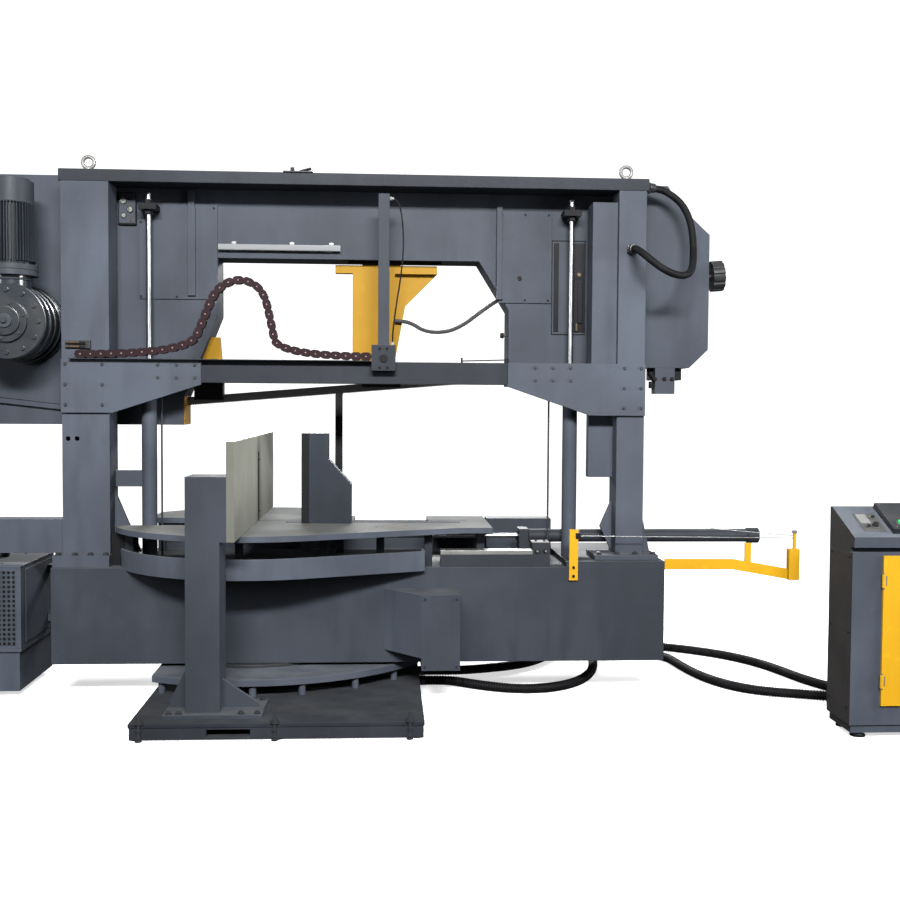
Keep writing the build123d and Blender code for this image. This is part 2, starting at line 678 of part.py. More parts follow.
CHAIN_HEIGHT = 40
CHAIN_FRONT = COLUMN_FRONT - 46
CHAIN_REAR = COLUMN_FRONT - 2


def energy_chain():
    """Cable chain that lies on the tray and arches up between the gate and the bow."""
    low = CROSS_TOP + 5 + CHAIN_HEIGHT / 2
    points = [(-850, low), (-305, low), (-225, low + 190), (-172, low + 325), (-60, low + 382)]
    points += [(58, low + 332), (98, low + 165), (128, low), (590, low)]
    path, radii = route([(x, (CHAIN_FRONT + CHAIN_REAR) / 2, z) for x, z in points])
    start = Plane(origin=path @ 0, x_dir=(0, 1, 0), z_dir=path % 0)
    section = start * Rectangle(CHAIN_REAR - CHAIN_FRONT, CHAIN_HEIGHT)
    print("energy_chain length", round(path.length), "radii", [round(r) for r in radii])
    return sweep(section, path=path)


TOP_BEAM_RIGHT = RIGHT_COLUMN_X + RIGHT_COLUMN_WIDTH / 2 + TOP_BEAM_OVERHANG
LOOP_ROUTE = [
    (67, -215, 2575), (129, -223, 2543), (179, -232, 2499), (212, -243, 2441), (229, -253, 2376),
    (236, -260, 2309), (234, -276, 2244), (223, -314, 2189), (203, -363, 2146), (172, -415, 2116),
    (125, -462, 2103), (66, -491, 2112),
    (6, -499, 2142), (-41, -478, 2185), (-69, -430, 2222), (-86, -367, 2250), (-86, COLUMN_FRONT, 2250),
]
LOOP_POINTS = [(TOP_BEAM_RIGHT, -215, 2575)] + [(TOP_BEAM_RIGHT + x, y, z) for x, y, z in LOOP_ROUTE]


def column_conduit():
    return hose("column_conduit", LOOP_POINTS, LOOP_RADIUS)


CABLE_ROUTE = [
    (680, -325, 2480), (700, -325, 2478), (717, -326, 2468), (728, -327, 2450), (736, -328, 2420),
    (743, -330, 2370),
    (748, -331, 2310), (749, -331, 2245), (746, -331, 2180), (738, -330, 2110), (728, -329, 2040),
    (717, -328, 1970), (707, -327, 1900), (700, -326, 1840), (697, -325, 1790), (696, -325, 1757),
]


def switch_cable():
    """Cable from the top of the switch post down to its clamp."""
    return hose("switch_cable", CABLE_ROUTE, CABLE_RADIUS)


def vice_rail():
    """Slide bar with a machined strip beside the vice rod, and the valve box."""
    left, right, front, rear = VICE_BLOCK_X - 420, VICE_BLOCK_X + 40, -375, -300
    return group(
        box(left, right, front, rear, BEAM_TOP, BEAM_TOP + 63),
        box(left, right, front, rear, BEAM_TOP + 63, BEAM_TOP + 83),
        box(right, right + 90, -370, -262, BEAM_TOP, BEAM_TOP + 122),
    )


def vice_cylinder():
    block_right = VICE_BLOCK_X + 48
    cylinder = bar((block_right, VICE_Y, VICE_Z), (VICE_END, VICE_Y, VICE_Z), VICE_BARREL_RADIUS)
    cylinder += bar((VICE_END - 60, VICE_Y, VICE_Z), (VICE_END, VICE_Y, VICE_Z), VICE_BARREL_RADIUS + 6)
    cylinder += box(VICE_BLOCK_X, block_right, VICE_Y - 58, VICE_Y + 58, BEAM_TOP, VICE_Z + 40)
    wall = 7
    cylinder -= bar((block_right, VICE_Y, VICE_Z), (VICE_END - 40, VICE_Y, VICE_Z), VICE_BARREL_RADIUS - wall)
    cylinder -= bar((VICE_BLOCK_X, VICE_Y, VICE_Z), (block_right, VICE_Y, VICE_Z), VICE_ROD_RADIUS + BORE_GAP)
    return cylinder


def lug_span():
    left = JAW_OPENING + JAW_PLATE + 105
    return left, left + 60


def moving_jaw():
    """Vice jaw with its hardened plate, drive lug and piston rod."""
    face, back = JAW_OPENING, JAW_OPENING + JAW_PLATE
    low, high = TABLE_TOP + RUN_GAP, TABLE_TOP + RUN_GAP + JAW_HEIGHT
    plate = box(face, back, JAW_FRONT, JAW_REAR, low, high)
    slim, foot = back + 97, back + JAW_BODY
    side = [(back, low), (foot, low), (foot, low + 200), (slim, low + 330), (slim, high), (back, high)]
    lug_left, lug_right = lug_span()
    body = prism_y(side, JAW_FRONT, JAW_REAR)
    body += box(lug_left, lug_right, VICE_Y - LUG_WIDTH / 2, VICE_Y + LUG_WIDTH / 2, VICE_Z - 25, low)
    rod_end = VICE_BLOCK_X + 48 + JAW_CLOSE + 120
    rod = bar((lug_right, VICE_Y, VICE_Z), (rod_end, VICE_Y, VICE_Z), VICE_ROD_RADIUS)
    rod += bar((rod_end - 30, VICE_Y, VICE_Z), (rod_end, VICE_Y, VICE_Z), VICE_BARREL_RADIUS - 7 - BORE_GAP)
    return group(plate, body, rod)


TRIP_BAR_WIDTH = 44
TRIP_Y = -388
TRIP_Z = 812


def trip_brackets():
    """Bar on the beam's front and the arm on its right end that hold the trip wires."""
    face = -BEAM_HALF_DEPTH
    half = TRIP_BAR_WIDTH / 2
    strip = box(TRIP_BAR_X - half, TRIP_BAR_X + half, face - 16, face, 590, 845)
    arm_rear, arm_front = face + 14, face + 2
    bend, tip = BEAM_RIGHT + 350, TRIP_PIN_X - 35
    lower = [(BEAM_RIGHT, 641), (bend, 640), (tip, 590)]
    upper = [(tip, 644), (bend, 693), (BEAM_RIGHT, 695)]
    arm = prism_y(lower + upper, arm_front, arm_rear)
    arm += box(tip, TRIP_PIN_X + 20, face - 20, face + 20, 588, 745)
    arm += box(bend + 60, bend + 92, arm_front, arm_rear, 660, 775)
    arm += bar((TRIP_PIN_X, TRIP_Y + 12, 745), (TRIP_PIN_X, TRIP_Y + 12, 825), 9)
    return group(strip, arm)


def trip_wires():
    """Two taut steel wires between the bar, the column and the arm."""
    radius = 2
    start = TRIP_BAR_X + TRIP_BAR_WIDTH / 2 + 0.2
    low = bar((start, TRIP_Y, TRIP_Z), (TRIP_PIN_X - 9.8, TRIP_Y + 12, TRIP_Z - 12), radius)
    column_right = RIGHT_COLUMN_X + RIGHT_COLUMN_WIDTH / 2
    start = (column_right + 0.3, TRIP_Y + 100, TRIP_Z + 58)
    high = bar(start, (TRIP_PIN_X, TRIP_Y + 23.5, TRIP_Z - 2), radius)
    return group(low, high)


def hydraulic_cabinet():
    """Power pack casing at the beam's left end, with the brackets that carry it."""
    left = CABINET_RIGHT - CABINET_WIDTH
    lower_top, set_back = 228, 12
    wall = 4
    upper = tube_x(left, CABINET_RIGHT, CABINET_FRONT, CABINET_REAR, lower_top, CABINET_TOP, wall)
    right, front = CABINET_RIGHT - set_back, CABINET_FRONT + set_back
    lower = tube_x(left, right, front, CABINET_REAR, CABINET_BOTTOM, lower_top, wall)
    pitch, hole = 32, 11
    for column_index in range(9):
        for row in range(10):
            x = CABINET_RIGHT - 50 - column_index * pitch
            z = lower_top + 65 + row * pitch
            upper -= bar((x, CABINET_FRONT, z), (x, CABINET_FRONT + wall, z), hole)
    for z in (300, 560):
        upper += box(CABINET_RIGHT, BEAM_LEFT, 120, 180, z, z + 40)
    return upper + lower


def bow_outline():
    """Front view of the bow: two wheel boxes joined by a beam, open below."""
    left, top, chamfer = BOW_LEFT, BOW_TOP, BOW_CHAMFER
    return [
        (left, LEFT_BOX_BOTTOM + chamfer), (left, top - chamfer), (left + chamfer, top),
        (BOW_RIGHT - 225, top), (BOW_RIGHT - 160, top - 102), (BOW_RIGHT, top - 250),
        (BOW_RIGHT, COVER_BOTTOM + 97), (BOW_RIGHT - 100, COVER_BOTTOM), (COVER_LEFT, COVER_BOTTOM),
        (COVER_LEFT, RIGHT_BOX_BOTTOM), (WINDOW_RIGHT, RIGHT_BOX_BOTTOM), (WINDOW_RIGHT, WINDOW_TOP - 250),
        (WINDOW_RIGHT - 156, WINDOW_TOP), (WINDOW_LEFT, WINDOW_TOP), (WINDOW_LEFT, WINDOW_TOP - 290),
        (WINDOW_LEFT - 92, WINDOW_TOP - 521), (LEFT_BOX_RIGHT, LEFT_BOX_BOTTOM + 139),
        (LEFT_BOX_RIGHT, LEFT_BOX_BOTTOM), (left + chamfer, LEFT_BOX_BOTTOM),
    ]


def bow_frame():
    outline = flat(bow_outline())
    inside = offset(outline, -BOW_WALL, kind=Kind.INTERSECTION)
    frame = stand_up(outline, BOW_FRONT, BOW_REAR) - stand_up(inside, BOW_FRONT + BOW_WALL, BOW_REAR)
    for x in (LEFT_BOX_RIGHT, WINDOW_RIGHT):
        z = blade_z(x)
        frame -= box(x - 60, x + 60, -30, 30, z - 40, z + 40)
    stem = 115
    slot_left, slot_right = GUIDE_X - GUIDE_LEFT - stem, GUIDE_X + GUIDE_RIGHT + stem
    frame -= box(slot_left, slot_right, -75, 60, WINDOW_TOP - 1, WINDOW_TOP + BOW_WALL + 1)
    wall_rear = BOW_FRONT + BOW_WALL
    frame -= bar((DRIVE_X, BOW_FRONT, DRIVE_Z), (DRIVE_X, wall_rear, DRIVE_Z), SHAFT_RADIUS + RUN_GAP)
    bore_start, bore_end = WHEEL_SPAN + WHEEL_RADIUS, WHEEL_SPAN + 600
    frame -= bow_place(bar((bore_start, TENSION_Y, 0), (bore_end, TENSION_Y, 0), SCREW_RADIUS + RUN_GAP))
    return frame


def part_of_outline(x0, x1, inset):
    clipped = offset(flat(bow_outline()), -inset, kind=Kind.INTERSECTION)
    height = BOW_TOP - LEFT_BOX_BOTTOM
    window = Pos((x0 + x1) / 2, LEFT_BOX_BOTTOM + height / 2) * Rectangle(x1 - x0, 2 * height)
    return clipped & window


def bow_covers():
    """Small front covers, the rear plate between the doors and the brush box."""
    front = BOW_FRONT - 8
    left = box(WINDOW_LEFT - 396, WINDOW_LEFT, front, BOW_FRONT, WINDOW_TOP - 213, BOW_TOP - 135)
    left -= box(WINDOW_LEFT - 400, WINDOW_LEFT - 280, front, BOW_FRONT, BOW_TOP - 215, BOW_TOP)
    channel = box(WINDOW_LEFT - 150, WINDOW_LEFT - 110, front - 14, front, WINDOW_TOP - 195, BOW_TOP - 150)
    right = box(WINDOW_RIGHT - 55, WINDOW_RIGHT + 221, front, BOW_FRONT, WINDOW_TOP - 213, BOW_TOP - 145)
    eye_x, eye_z = WINDOW_RIGHT + 58, WINDOW_TOP - 95
    right -= bar((eye_x, front, eye_z), (eye_x, BOW_FRONT, eye_z), 9)
    middle = stand_up(part_of_outline(DOOR_LEFT_END, DOOR_RIGHT_START, 0), BOW_REAR, BOW_REAR + 8)
    brush = box(COVER_LEFT + 55, COVER_LEFT + 160, BOW_FRONT, -20, COVER_BOTTOM - 136, COVER_BOTTOM)
    return group(left + channel, right, middle, brush)


DOOR_Y = BOW_REAR + RUN_GAP
DOOR_EDGE = 2
HINGE_RADIUS = 8


def rear_door(x0, x1, hinge_x):
    """Rear wheel door with its hinge barrel on the outer edge."""
    door = stand_up(part_of_outline(x0, x1, DOOR_EDGE), DOOR_Y, DOOR_Y + DOOR_THICK)
    middle = (BOW_TOP + COVER_BOTTOM) / 2
    axis_y = DOOR_Y + DOOR_THICK
    for z in (middle - 260, middle + 160):
        door += bar((hinge_x, axis_y, z), (hinge_x, axis_y, z + 100), HINGE_RADIUS)
    return door


def rear_door_left():
    return rear_door(BOW_LEFT, DOOR_LEFT_END - 1, BOW_LEFT + DOOR_EDGE)


def rear_door_right():
    return rear_door(DOOR_RIGHT_START + 1, BOW_RIGHT, BOW_RIGHT - DOOR_EDGE)


SHAFT_RADIUS = 40
AXLE_RADIUS = 35
SCREW_RADIUS = 15
KNOB_RADIUS = 80
TENSION_Y = -62
TENSION_BLOCK = 130


def wheel(bore):
    """Band wheel on its own axis along Y: rim, web with round holes, hub."""
    half, rim, hub, web = WHEEL_WIDTH / 2, 38, 75, 8
    body = bar((0, -half, 0), (0, half, 0), WHEEL_RADIUS)
    body -= bar((0, -half, 0), (0, half, 0), WHEEL_RADIUS - rim)
    body += bar((0, -web, 0), (0, web, 0), WHEEL_RADIUS - rim)
    body += bar((0, -half, 0), (0, half, 0), hub)
    for index in range(6):
        turn = index * pi / 3
        ring = (hub + WHEEL_RADIUS - rim) / 2
        x, z = ring * cos(turn), ring * sin(turn)
        body -= bar((x, -half, z), (x, half, z), 85)
    if bore:
        body -= bar((0, -half, 0), (0, half, 0), bore)
    return body


def drive_wheel():
    shaft_start = BOW_FRONT - 30
    shape = wheel(0) + bar((0, shaft_start, 0), (0, -WHEEL_WIDTH / 2, 0), SHAFT_RADIUS)
    return Pos(DRIVE_X, 0, DRIVE_Z) * shape


def idler_wheel():
    return Pos(IDLER_X, 0, IDLER_Z) * wheel(AXLE_RADIUS + BORE_GAP)


def tension_slide():
    """Slide block with the idler axle, running behind the bow's front plate."""
    front = BOW_FRONT + BOW_WALL + RUN_GAP
    rear = -WHEEL_WIDTH / 2 - 10
    block = box(WHEEL_SPAN - TENSION_BLOCK, WHEEL_SPAN + TENSION_BLOCK, front, rear, -60, 60)
    block += bar((WHEEL_SPAN, rear, 0), (WHEEL_SPAN, WHEEL_WIDTH / 2 + 12, 0), AXLE_RADIUS)
    return bow_place(block)


def tension_knob():
    """Tension screw with its round knob outside the wheel cover."""
    wall = (BOW_RIGHT - DRIVE_X) / CANT_COS
    start, y = WHEEL_SPAN + TENSION_BLOCK + RUN_GAP, TENSION_Y
    knob = bar((start, y, 0), (wall + 16, y, 0), SCREW_RADIUS)
    knob += bar((wall + 16, y, 0), (wall + 78, y, 0), KNOB_RADIUS)
    for index in range(12):
        turn = index * pi / 6
        side, up = y + (KNOB_RADIUS + 4) * cos(turn), (KNOB_RADIUS + 4) * sin(turn)
        knob -= bar((wall + 16, side, up), (wall + 78, side, up), 10)
    return bow_place(knob)


def saw_blade():
    """Endless band: flat on the wheels, twisted on edge where it cuts."""
    near = WHEEL_RADIUS + 0.4
    far = near + BLADE_THICK
    half = BLADE_WIDTH / 2

    def loop(radius):
        return SlotCenterToCenter(WHEEL_SPAN, 2 * radius)

    band = Pos(WHEEL_SPAN / 2, 0, 0) * stand_up(loop(far) - loop(near), -half, half)
    start, end = 60, WHEEL_SPAN - 60
    band -= box(start, end, -half, half, -far - 1, -near + 1)
    cut_start, cut_end = blade_u(LEFT_BOX_RIGHT), blade_u(WINDOW_RIGHT)
    level = -(near + far) / 2

    def twisted(u0, u1, a0, a1):
        slices = []
        for step in range(5):
            share = step / 4
            turn = radians(a0 + (a1 - a0) * share)
            origin = (u0 + (u1 - u0) * share, 0, level)
            plane = Plane(origin=origin, x_dir=(0, cos(turn), sin(turn)), z_dir=(1, 0, 0))
            slices.append(plane * Rectangle(BLADE_WIDTH, BLADE_THICK))
        return loft(slices, ruled=True)

    edge = BLADE_THICK / 2
    band += twisted(start, cut_start, 0, 90) + twisted(cut_end, end, 90, 180)
    cutting_run = box(cut_start, cut_end, -edge, edge, level - half, level + half)
    return group(bow_place(band), bow_place(cutting_run))


GEAR_DEPTH = 320
MOTOR_Y = BOW_FRONT - GEAR_DEPTH + 90


def gear_box():
    """Right angle gear box with the motor adapter above it."""
    rear = BOW_FRONT
    face = rear - GEAR_DEPTH
    body = bar((DRIVE_X, face, DRIVE_Z), (DRIVE_X, rear - 24, DRIVE_Z), 180)
    body += bar((DRIVE_X, rear - 24, DRIVE_Z), (DRIVE_X, rear, DRIVE_Z), 196)
    body += bar((DRIVE_X, face - 17, DRIVE_Z), (DRIVE_X, face, DRIVE_Z), 100)
    for index in range(12):
        turn = index * pi / 6
        x, z = DRIVE_X + 150 * cos(turn), DRIVE_Z + 150 * sin(turn)
        body += bar((x, face - 9, z), (x, face, z), 11)
    body += bar((DRIVE_X, MOTOR_Y, DRIVE_Z), (DRIVE_X, MOTOR_Y, DRIVE_Z + 240), 88)
    body += bar((DRIVE_X, MOTOR_Y, DRIVE_Z + 222), (DRIVE_X, MOTOR_Y, DRIVE_Z + 250), 122)
    body -= bar((DRIVE_X, rear - 30 - RUN_GAP, DRIVE_Z), (DRIVE_X, rear, DRIVE_Z), SHAFT_RADIUS + RUN_GAP)
    return body


def motor():
    """Finned motor with a terminal box and a fan cover on top."""
    low, high = DRIVE_Z + 250, BOW_TOP - 70
    x, y = DRIVE_X, MOTOR_Y
    body = bar((x, y, low), (x, y, low + 24), 122)
    body += bar((x, y, low + 24), (x, y, high - 110), 92)
    fin_height, fin_half = 20, 2.5
    fin = box(88, 92 + fin_height, -fin_half, fin_half, low + 40, high - 120)
    for index in range(24):
        body += Pos(x, y, 0) * Rot(0, 0, index * 15) * fin
    body += bar((x, y, high - 120), (x, y, high - 12), 104) + bar((x, y, high - 12), (x, y, high), 86)
    body += box(x - 150, x - 80, y - 55, y + 55, low + 90, low + 200)
    return body


def fixed_guide():
    """Left blade guide with its bracket on the wheel box."""
    left, right = -328, -180
    z = blade_z((left + right) / 2)
    block = box(left, right, -34, 34, z - 4, z + 100)
    block -= bow_slot(left, right, z)
    wedge_top = WINDOW_TOP - 400
    wedge = [(-328, z + 100), (-180, z + 100), (WINDOW_LEFT, wedge_top), (WINDOW_LEFT - 60, wedge_top)]
    block += prism_y(wedge, -34, 10)
    inner = offset(flat(bow_outline()), TOUCH, kind=Kind.INTERSECTION)
    return block - stand_up(inner, BOW_FRONT, BOW_REAR)


def bow_slot(left, right, z):
    """Gap in a guide block for the blade that stands on edge in it."""
    side, above = BLADE_THICK / 2 + RUN_GAP, BLADE_WIDTH / 2 + 6
    return box(left - 5, right + 5, -side, side, z - 60, z + above)


RAIL_V = 325


def guide_rail():
    """Rail inside the bow's top beam, parallel to the blade."""
    start, end = blade_u(GUIDE_X - GUIDE_LEFT - 130), blade_u(WINDOW_RIGHT - 120)
    rail = box(start, end, BOW_FRONT + BOW_WALL, BOW_FRONT + BOW_WALL + 26, RAIL_V - 30, RAIL_V + 30)
    return bow_place(rail)


def guide_bracket():
    """Moving blade guide: carriage on the rail, yellow bracket and guide block."""
    u = blade_u(GUIDE_X)
    rail_rear = BOW_FRONT + BOW_WALL + 26
    back = rail_rear + RUN_GAP
    half = 30 + RUN_GAP
    head = box(u - 110, u + 110, back, 16, RAIL_V - 60, RAIL_V + 60)
    for low, high in ((half, 60), (-60, -half)):
        head += box(u - 110, u + 110, rail_rear - 20, back, RAIL_V + low, RAIL_V + high)
    head = bow_place(head)
    x = GUIDE_X
    z = blade_z(x)
    flange_low = WINDOW_TOP - 62
    arm = box(x - 240, x + 290, -34, 16, flange_low, WINDOW_TOP - 20)
    arm += box(x - 100, x + 100, -34, 16, WINDOW_TOP - 20, DRIVE_Z + 2 * GUIDE_X * CANT_SIN + 330)
    arm += box(x - 150, x + 70, -34, 16, z + 105, flange_low)
    web = [(x + 70, z + 120), (x + 70, flange_low), (x + 288, flange_low), (x + 125, flange_low - 165)]
    arm += prism_y(web, 2, 14)
    block = box(x - 100, x + 100, -28, 28, z - 6, z + 105) - bow_slot(x - 100, x + 100, z + 9)
    return head + arm + block


HOSE_START = GUIDE_X + 70
HOSE_END_RISE = 64
HOSE_END = WINDOW_RIGHT - HOSE_END_RISE * 156 / 250 - RUN_GAP
HOSE_ROUTE = [
    (0, -16, 1900), (0.093, -16, 1900), (0.182, -20, 1882), (0.259, -25, 1855), (0.35, -28, 1843),
    (0.443, -28, 1843), (0.534, -27, 1852), (0.619, -25, 1873), (0.698, -24, 1900), (0.772, -22, 1931),
    (0.847, -21, 1962), (0.922, -20, 1992), (1, -20, WINDOW_TOP - 250 + HOSE_END_RISE),
]
HOSE_POINTS = [(HOSE_START + share * (HOSE_END - HOSE_START), y, z) for share, y, z in HOSE_ROUTE]


def guide_hose():
    return ribbed_hose("guide_hose", HOSE_POINTS, HOSE_RADIUS, 2.5, 2, 60)


def work_lamp():
    """Lamp bar over the window with its two clips."""
    face = BOW_FRONT
    lamp = box(WINDOW_LEFT + 5, WINDOW_LEFT + 625, face - 30, face - 8, WINDOW_TOP + 38, WINDOW_TOP + 68)
    for x in (WINDOW_LEFT + 60, WINDOW_LEFT + 540):
        lamp += box(x, x + 40, face - 8, face, WINDOW_TOP + 34, WINDOW_TOP + 72)
    return lamp


CONDUIT_GLAND = 34
CONDUIT_Z = CONDUIT_RADIUS + 1
CONDUIT_START = PLATE_RIGHT + CONDUIT_GLAND
FRONT_END = CONSOLE_LEFT + 348
REAR_END = CONSOLE_LEFT + 504
FRONT_ROUTE = [
    (0, -150, 31), (0.032, -150, 31), (0.0563, -156, 30), (0.0791, -173, 28), (0.1006, -200, CONDUIT_Z),
    (0.1331, -246, CONDUIT_Z), (0.172, -290, CONDUIT_Z), (0.2155, -318, CONDUIT_Z),
    (0.2589, -318, CONDUIT_Z), (0.3001, -290, CONDUIT_Z), (0.3376, -236, CONDUIT_Z),
    (0.3696, -160, CONDUIT_Z), (0.3952, -68, CONDUIT_Z), (0.4154, 38, CONDUIT_Z),
    (0.4291, 150, CONDUIT_Z), (0.4382, 262, CONDUIT_Z), (0.4446, 341, CONDUIT_Z),
    (0.4629, 410, CONDUIT_Z), (0.4909, 461, CONDUIT_Z), (0.5252, 488, CONDUIT_Z),
    (0.5618, 488, CONDUIT_Z), (0.5961, 461, CONDUIT_Z), (0.624, 410, CONDUIT_Z),
    (0.6423, 341, CONDUIT_Z), (0.6487, 262, CONDUIT_Z), (0.6542, 150, CONDUIT_Z),
    (0.6624, 32, CONDUIT_Z), (0.6752, -86, CONDUIT_Z), (0.6944, -198, CONDUIT_Z),
    (0.7219, -298, CONDUIT_Z), (0.7598, -380, CONDUIT_Z), (0.8056, -432, CONDUIT_Z),
    (0.8536, -466, CONDUIT_Z), (0.8838, -492, CONDUIT_Z), (0.9131, -522, 28), (0.9405, -555, 33),
    (0.9607, -587, 43), (0.9771, -627, 57), (0.9895, -674, 71), (0.9973, -726, 81), (1, -780, 86),
    (1, -846, 86),
]
REAR_ROUTE = [
    (0, 60, 31), (0.0299, 60, 31), (0.0683, 70, 28), (0.111, 96, CONDUIT_Z), (0.1563, 130, CONDUIT_Z),
    (0.2011, 172, CONDUIT_Z), (0.2425, 232, CONDUIT_Z), (0.2758, 310, CONDUIT_Z),
    (0.3023, 400, CONDUIT_Z), (0.3292, 494, CONDUIT_Z), (0.3629, 576, CONDUIT_Z),
    (0.4048, 640, CONDUIT_Z), (0.4526, 680, CONDUIT_Z), (0.5047, 692, CONDUIT_Z),
    (0.5568, 680, CONDUIT_Z), (0.6046, 642, CONDUIT_Z), (0.649, 586, CONDUIT_Z),
    (0.6909, 518, CONDUIT_Z), (0.731, 440, CONDUIT_Z), (0.766, 348, CONDUIT_Z), (0.795, 240, CONDUIT_Z),
    (0.8173, 120, CONDUIT_Z), (0.8335, -6, CONDUIT_Z), (0.8488, -134, CONDUIT_Z),
    (0.8685, -256, CONDUIT_Z), (0.8941, -366, CONDUIT_Z), (0.9249, -464, CONDUIT_Z), (0.9458, -524, 31),
    (0.9637, -579, 43), (0.9787, -627, 57), (0.9902, -674, 71), (0.9974, -726, 81), (1, -780, 86),
    (1, -846, 86),
]
FRONT_POINTS = [(CONDUIT_START + share * (FRONT_END - CONDUIT_START), y, z) for share, y, z in FRONT_ROUTE]
REAR_POINTS = [(CONDUIT_START + share * (REAR_END - CONDUIT_START), y, z) for share, y, z in REAR_ROUTE]
FRONT_RIBS = 250
REAR_RIBS = 226


def conduit_front():
    return ribbed_hose("conduit_front", FRONT_POINTS, CONDUIT_RADIUS, 3.5, 3, FRONT_RIBS)


def conduit_rear():
    return ribbed_hose("conduit_rear", REAR_POINTS, CONDUIT_RADIUS, 3.5, 3, REAR_RIBS)


def conduit_glands():
    """Glands at the base frame and behind the console."""
    frame_side = PLATE_RIGHT - FRAME_INSET
    pieces = []
    for points in (FRONT_POINTS, REAR_POINTS):
        x, y, z = points[0]
        pieces.append(bar((frame_side, y, z), (x, y, z), CONDUIT_RADIUS))
        x, y, z = points[-1]
        pieces.append(bar((x, y, z), (x, CONSOLE_REAR, z), CONDUIT_RADIUS))
    return group(*pieces)


def console_profile(inset):
    front, rear = CONSOLE_FRONT + inset, CONSOLE_REAR - inset
    low, top = PLINTH_HEIGHT + inset, CONSOLE_FRONT_HEIGHT - inset
    high = CONSOLE_REAR_HEIGHT - 2 * inset
    groove = front + CONSOLE_GROOVE
    lip = CONSOLE_FRONT - DESK_OVERHANG
    profile = [(front, low), (front, top), (groove, top)]
    if inset:
        profile += [(groove, DESK_FRONT_HEIGHT + 8), (rear - CONSOLE_RIM, high)]
    else:
        profile += [(groove, DESK_FRONT_HEIGHT - DESK_LIP), (lip, DESK_FRONT_HEIGHT - DESK_LIP)]
        profile += [(lip, DESK_FRONT_HEIGHT), (rear - CONSOLE_RIM, high)]
    return profile + [(rear, high), (rear, low)]


def console_body():
    """Sheet metal console with a sloping desk, plinth and feet."""
    wall, margin = CONSOLE_WALL, 12
    body = prism_x(console_profile(0), CONSOLE_LEFT, CONSOLE_RIGHT)
    body -= prism_x(console_profile(wall), CONSOLE_LEFT + wall, CONSOLE_RIGHT - wall)
    body -= box(DOOR_LEFT + margin, DOOR_LEFT + DOOR_WIDTH - margin, CONSOLE_FRONT, CONSOLE_FRONT + wall,
                DOOR_BOTTOM + margin, DOOR_TOP - margin)
    inset, foot = 10, 24
    body += box(CONSOLE_LEFT + inset, CONSOLE_RIGHT - inset, CONSOLE_FRONT + inset, CONSOLE_REAR - inset,
                foot, PLINTH_HEIGHT)
    for x in (CONSOLE_LEFT + 60, CONSOLE_RIGHT - 60):
        for y in (CONSOLE_FRONT + 50, CONSOLE_REAR - 50):
            body += bar((x, y, 0), (x, y, foot), 26)
    return body


def desk(shape):
    """Place a shape drawn on the desk plane: X along the desk, Y up the slope, Z out of it."""
    lip = CONSOLE_FRONT - DESK_OVERHANG
    tilt = degrees(atan2(CONSOLE_REAR_HEIGHT - DESK_FRONT_HEIGHT, CONSOLE_REAR - CONSOLE_RIM - lip))
    return Pos(CONSOLE_LEFT, lip, DESK_FRONT_HEIGHT) * Rot(tilt, 0, 0) * shape


PANEL_LEFT = 186
PANEL_RIGHT = 760
PANEL_LOW = 30
PANEL_HIGH = 262
PANEL_RISE = 26
CONTROL_V = 82
BUTTON_RADIUS = 14
BUTTON_RISE = 9


def console_panel():
    """Raised control panel with holes for the controls."""
    panel = box(PANEL_LEFT, PANEL_RIGHT, PANEL_LOW, PANEL_HIGH, 0, PANEL_RISE)
    for u in (START_U, STOP_U, ESTOP_U, SELECT_U):
        panel -= bar((u, CONTROL_V, PANEL_RISE - 14), (u, CONTROL_V, PANEL_RISE), BUTTON_RADIUS + RUN_GAP)
    panel -= box(340, 600, 110, 250, PANEL_RISE - 4, PANEL_RISE)
    return desk(panel)


START_U = 235
STOP_U = 295
SELECT_U = 650
ESTOP_U = 712


def console_screen():
    return desk(box(342, 598, 112, 248, PANEL_RISE - 4, PANEL_RISE - 1))


def push_button(u):
    return desk(bar((u, CONTROL_V, PANEL_RISE - 8), (u, CONTROL_V, PANEL_RISE + BUTTON_RISE), BUTTON_RADIUS))


def emergency_stop():
    stem = bar((ESTOP_U, CONTROL_V, PANEL_RISE - 8), (ESTOP_U, CONTROL_V, PANEL_RISE + 14), BUTTON_RADIUS)
    cap = bar((ESTOP_U, CONTROL_V, PANEL_RISE + 14), (ESTOP_U, CONTROL_V, PANEL_RISE + 32), 24)
    return desk(stem + cap)


def selector_knob():
    stem = bar((SELECT_U, CONTROL_V, PANEL_RISE - 8), (SELECT_U, CONTROL_V, PANEL_RISE + 10), BUTTON_RADIUS)
    grip = box(SELECT_U - 4, SELECT_U + 4, CONTROL_V - 14, CONTROL_V + 14, PANEL_RISE + 10, PANEL_RISE + 22)
    return desk(stem + grip)


DOOR_AXIS_Y = CONSOLE_FRONT - 16


def console_door():
    """Yellow door with hinge knuckles and a turn lock."""
    back = CONSOLE_FRONT - RUN_GAP
    door = box(DOOR_LEFT, DOOR_LEFT + DOOR_WIDTH, back - 14, back, DOOR_BOTTOM, DOOR_TOP)
    for z in (DOOR_BOTTOM + 80, DOOR_TOP - 140):
        door += bar((DOOR_LEFT, DOOR_AXIS_Y, z), (DOOR_LEFT, DOOR_AXIS_Y, z + 60), HINGE_RADIUS)
    lock_x, lock_z = DOOR_LEFT + DOOR_WIDTH - 40, (DOOR_BOTTOM + DOOR_TOP) / 2
    door += bar((lock_x, back - 26, lock_z), (lock_x, back - 14, lock_z), 16)
    return door


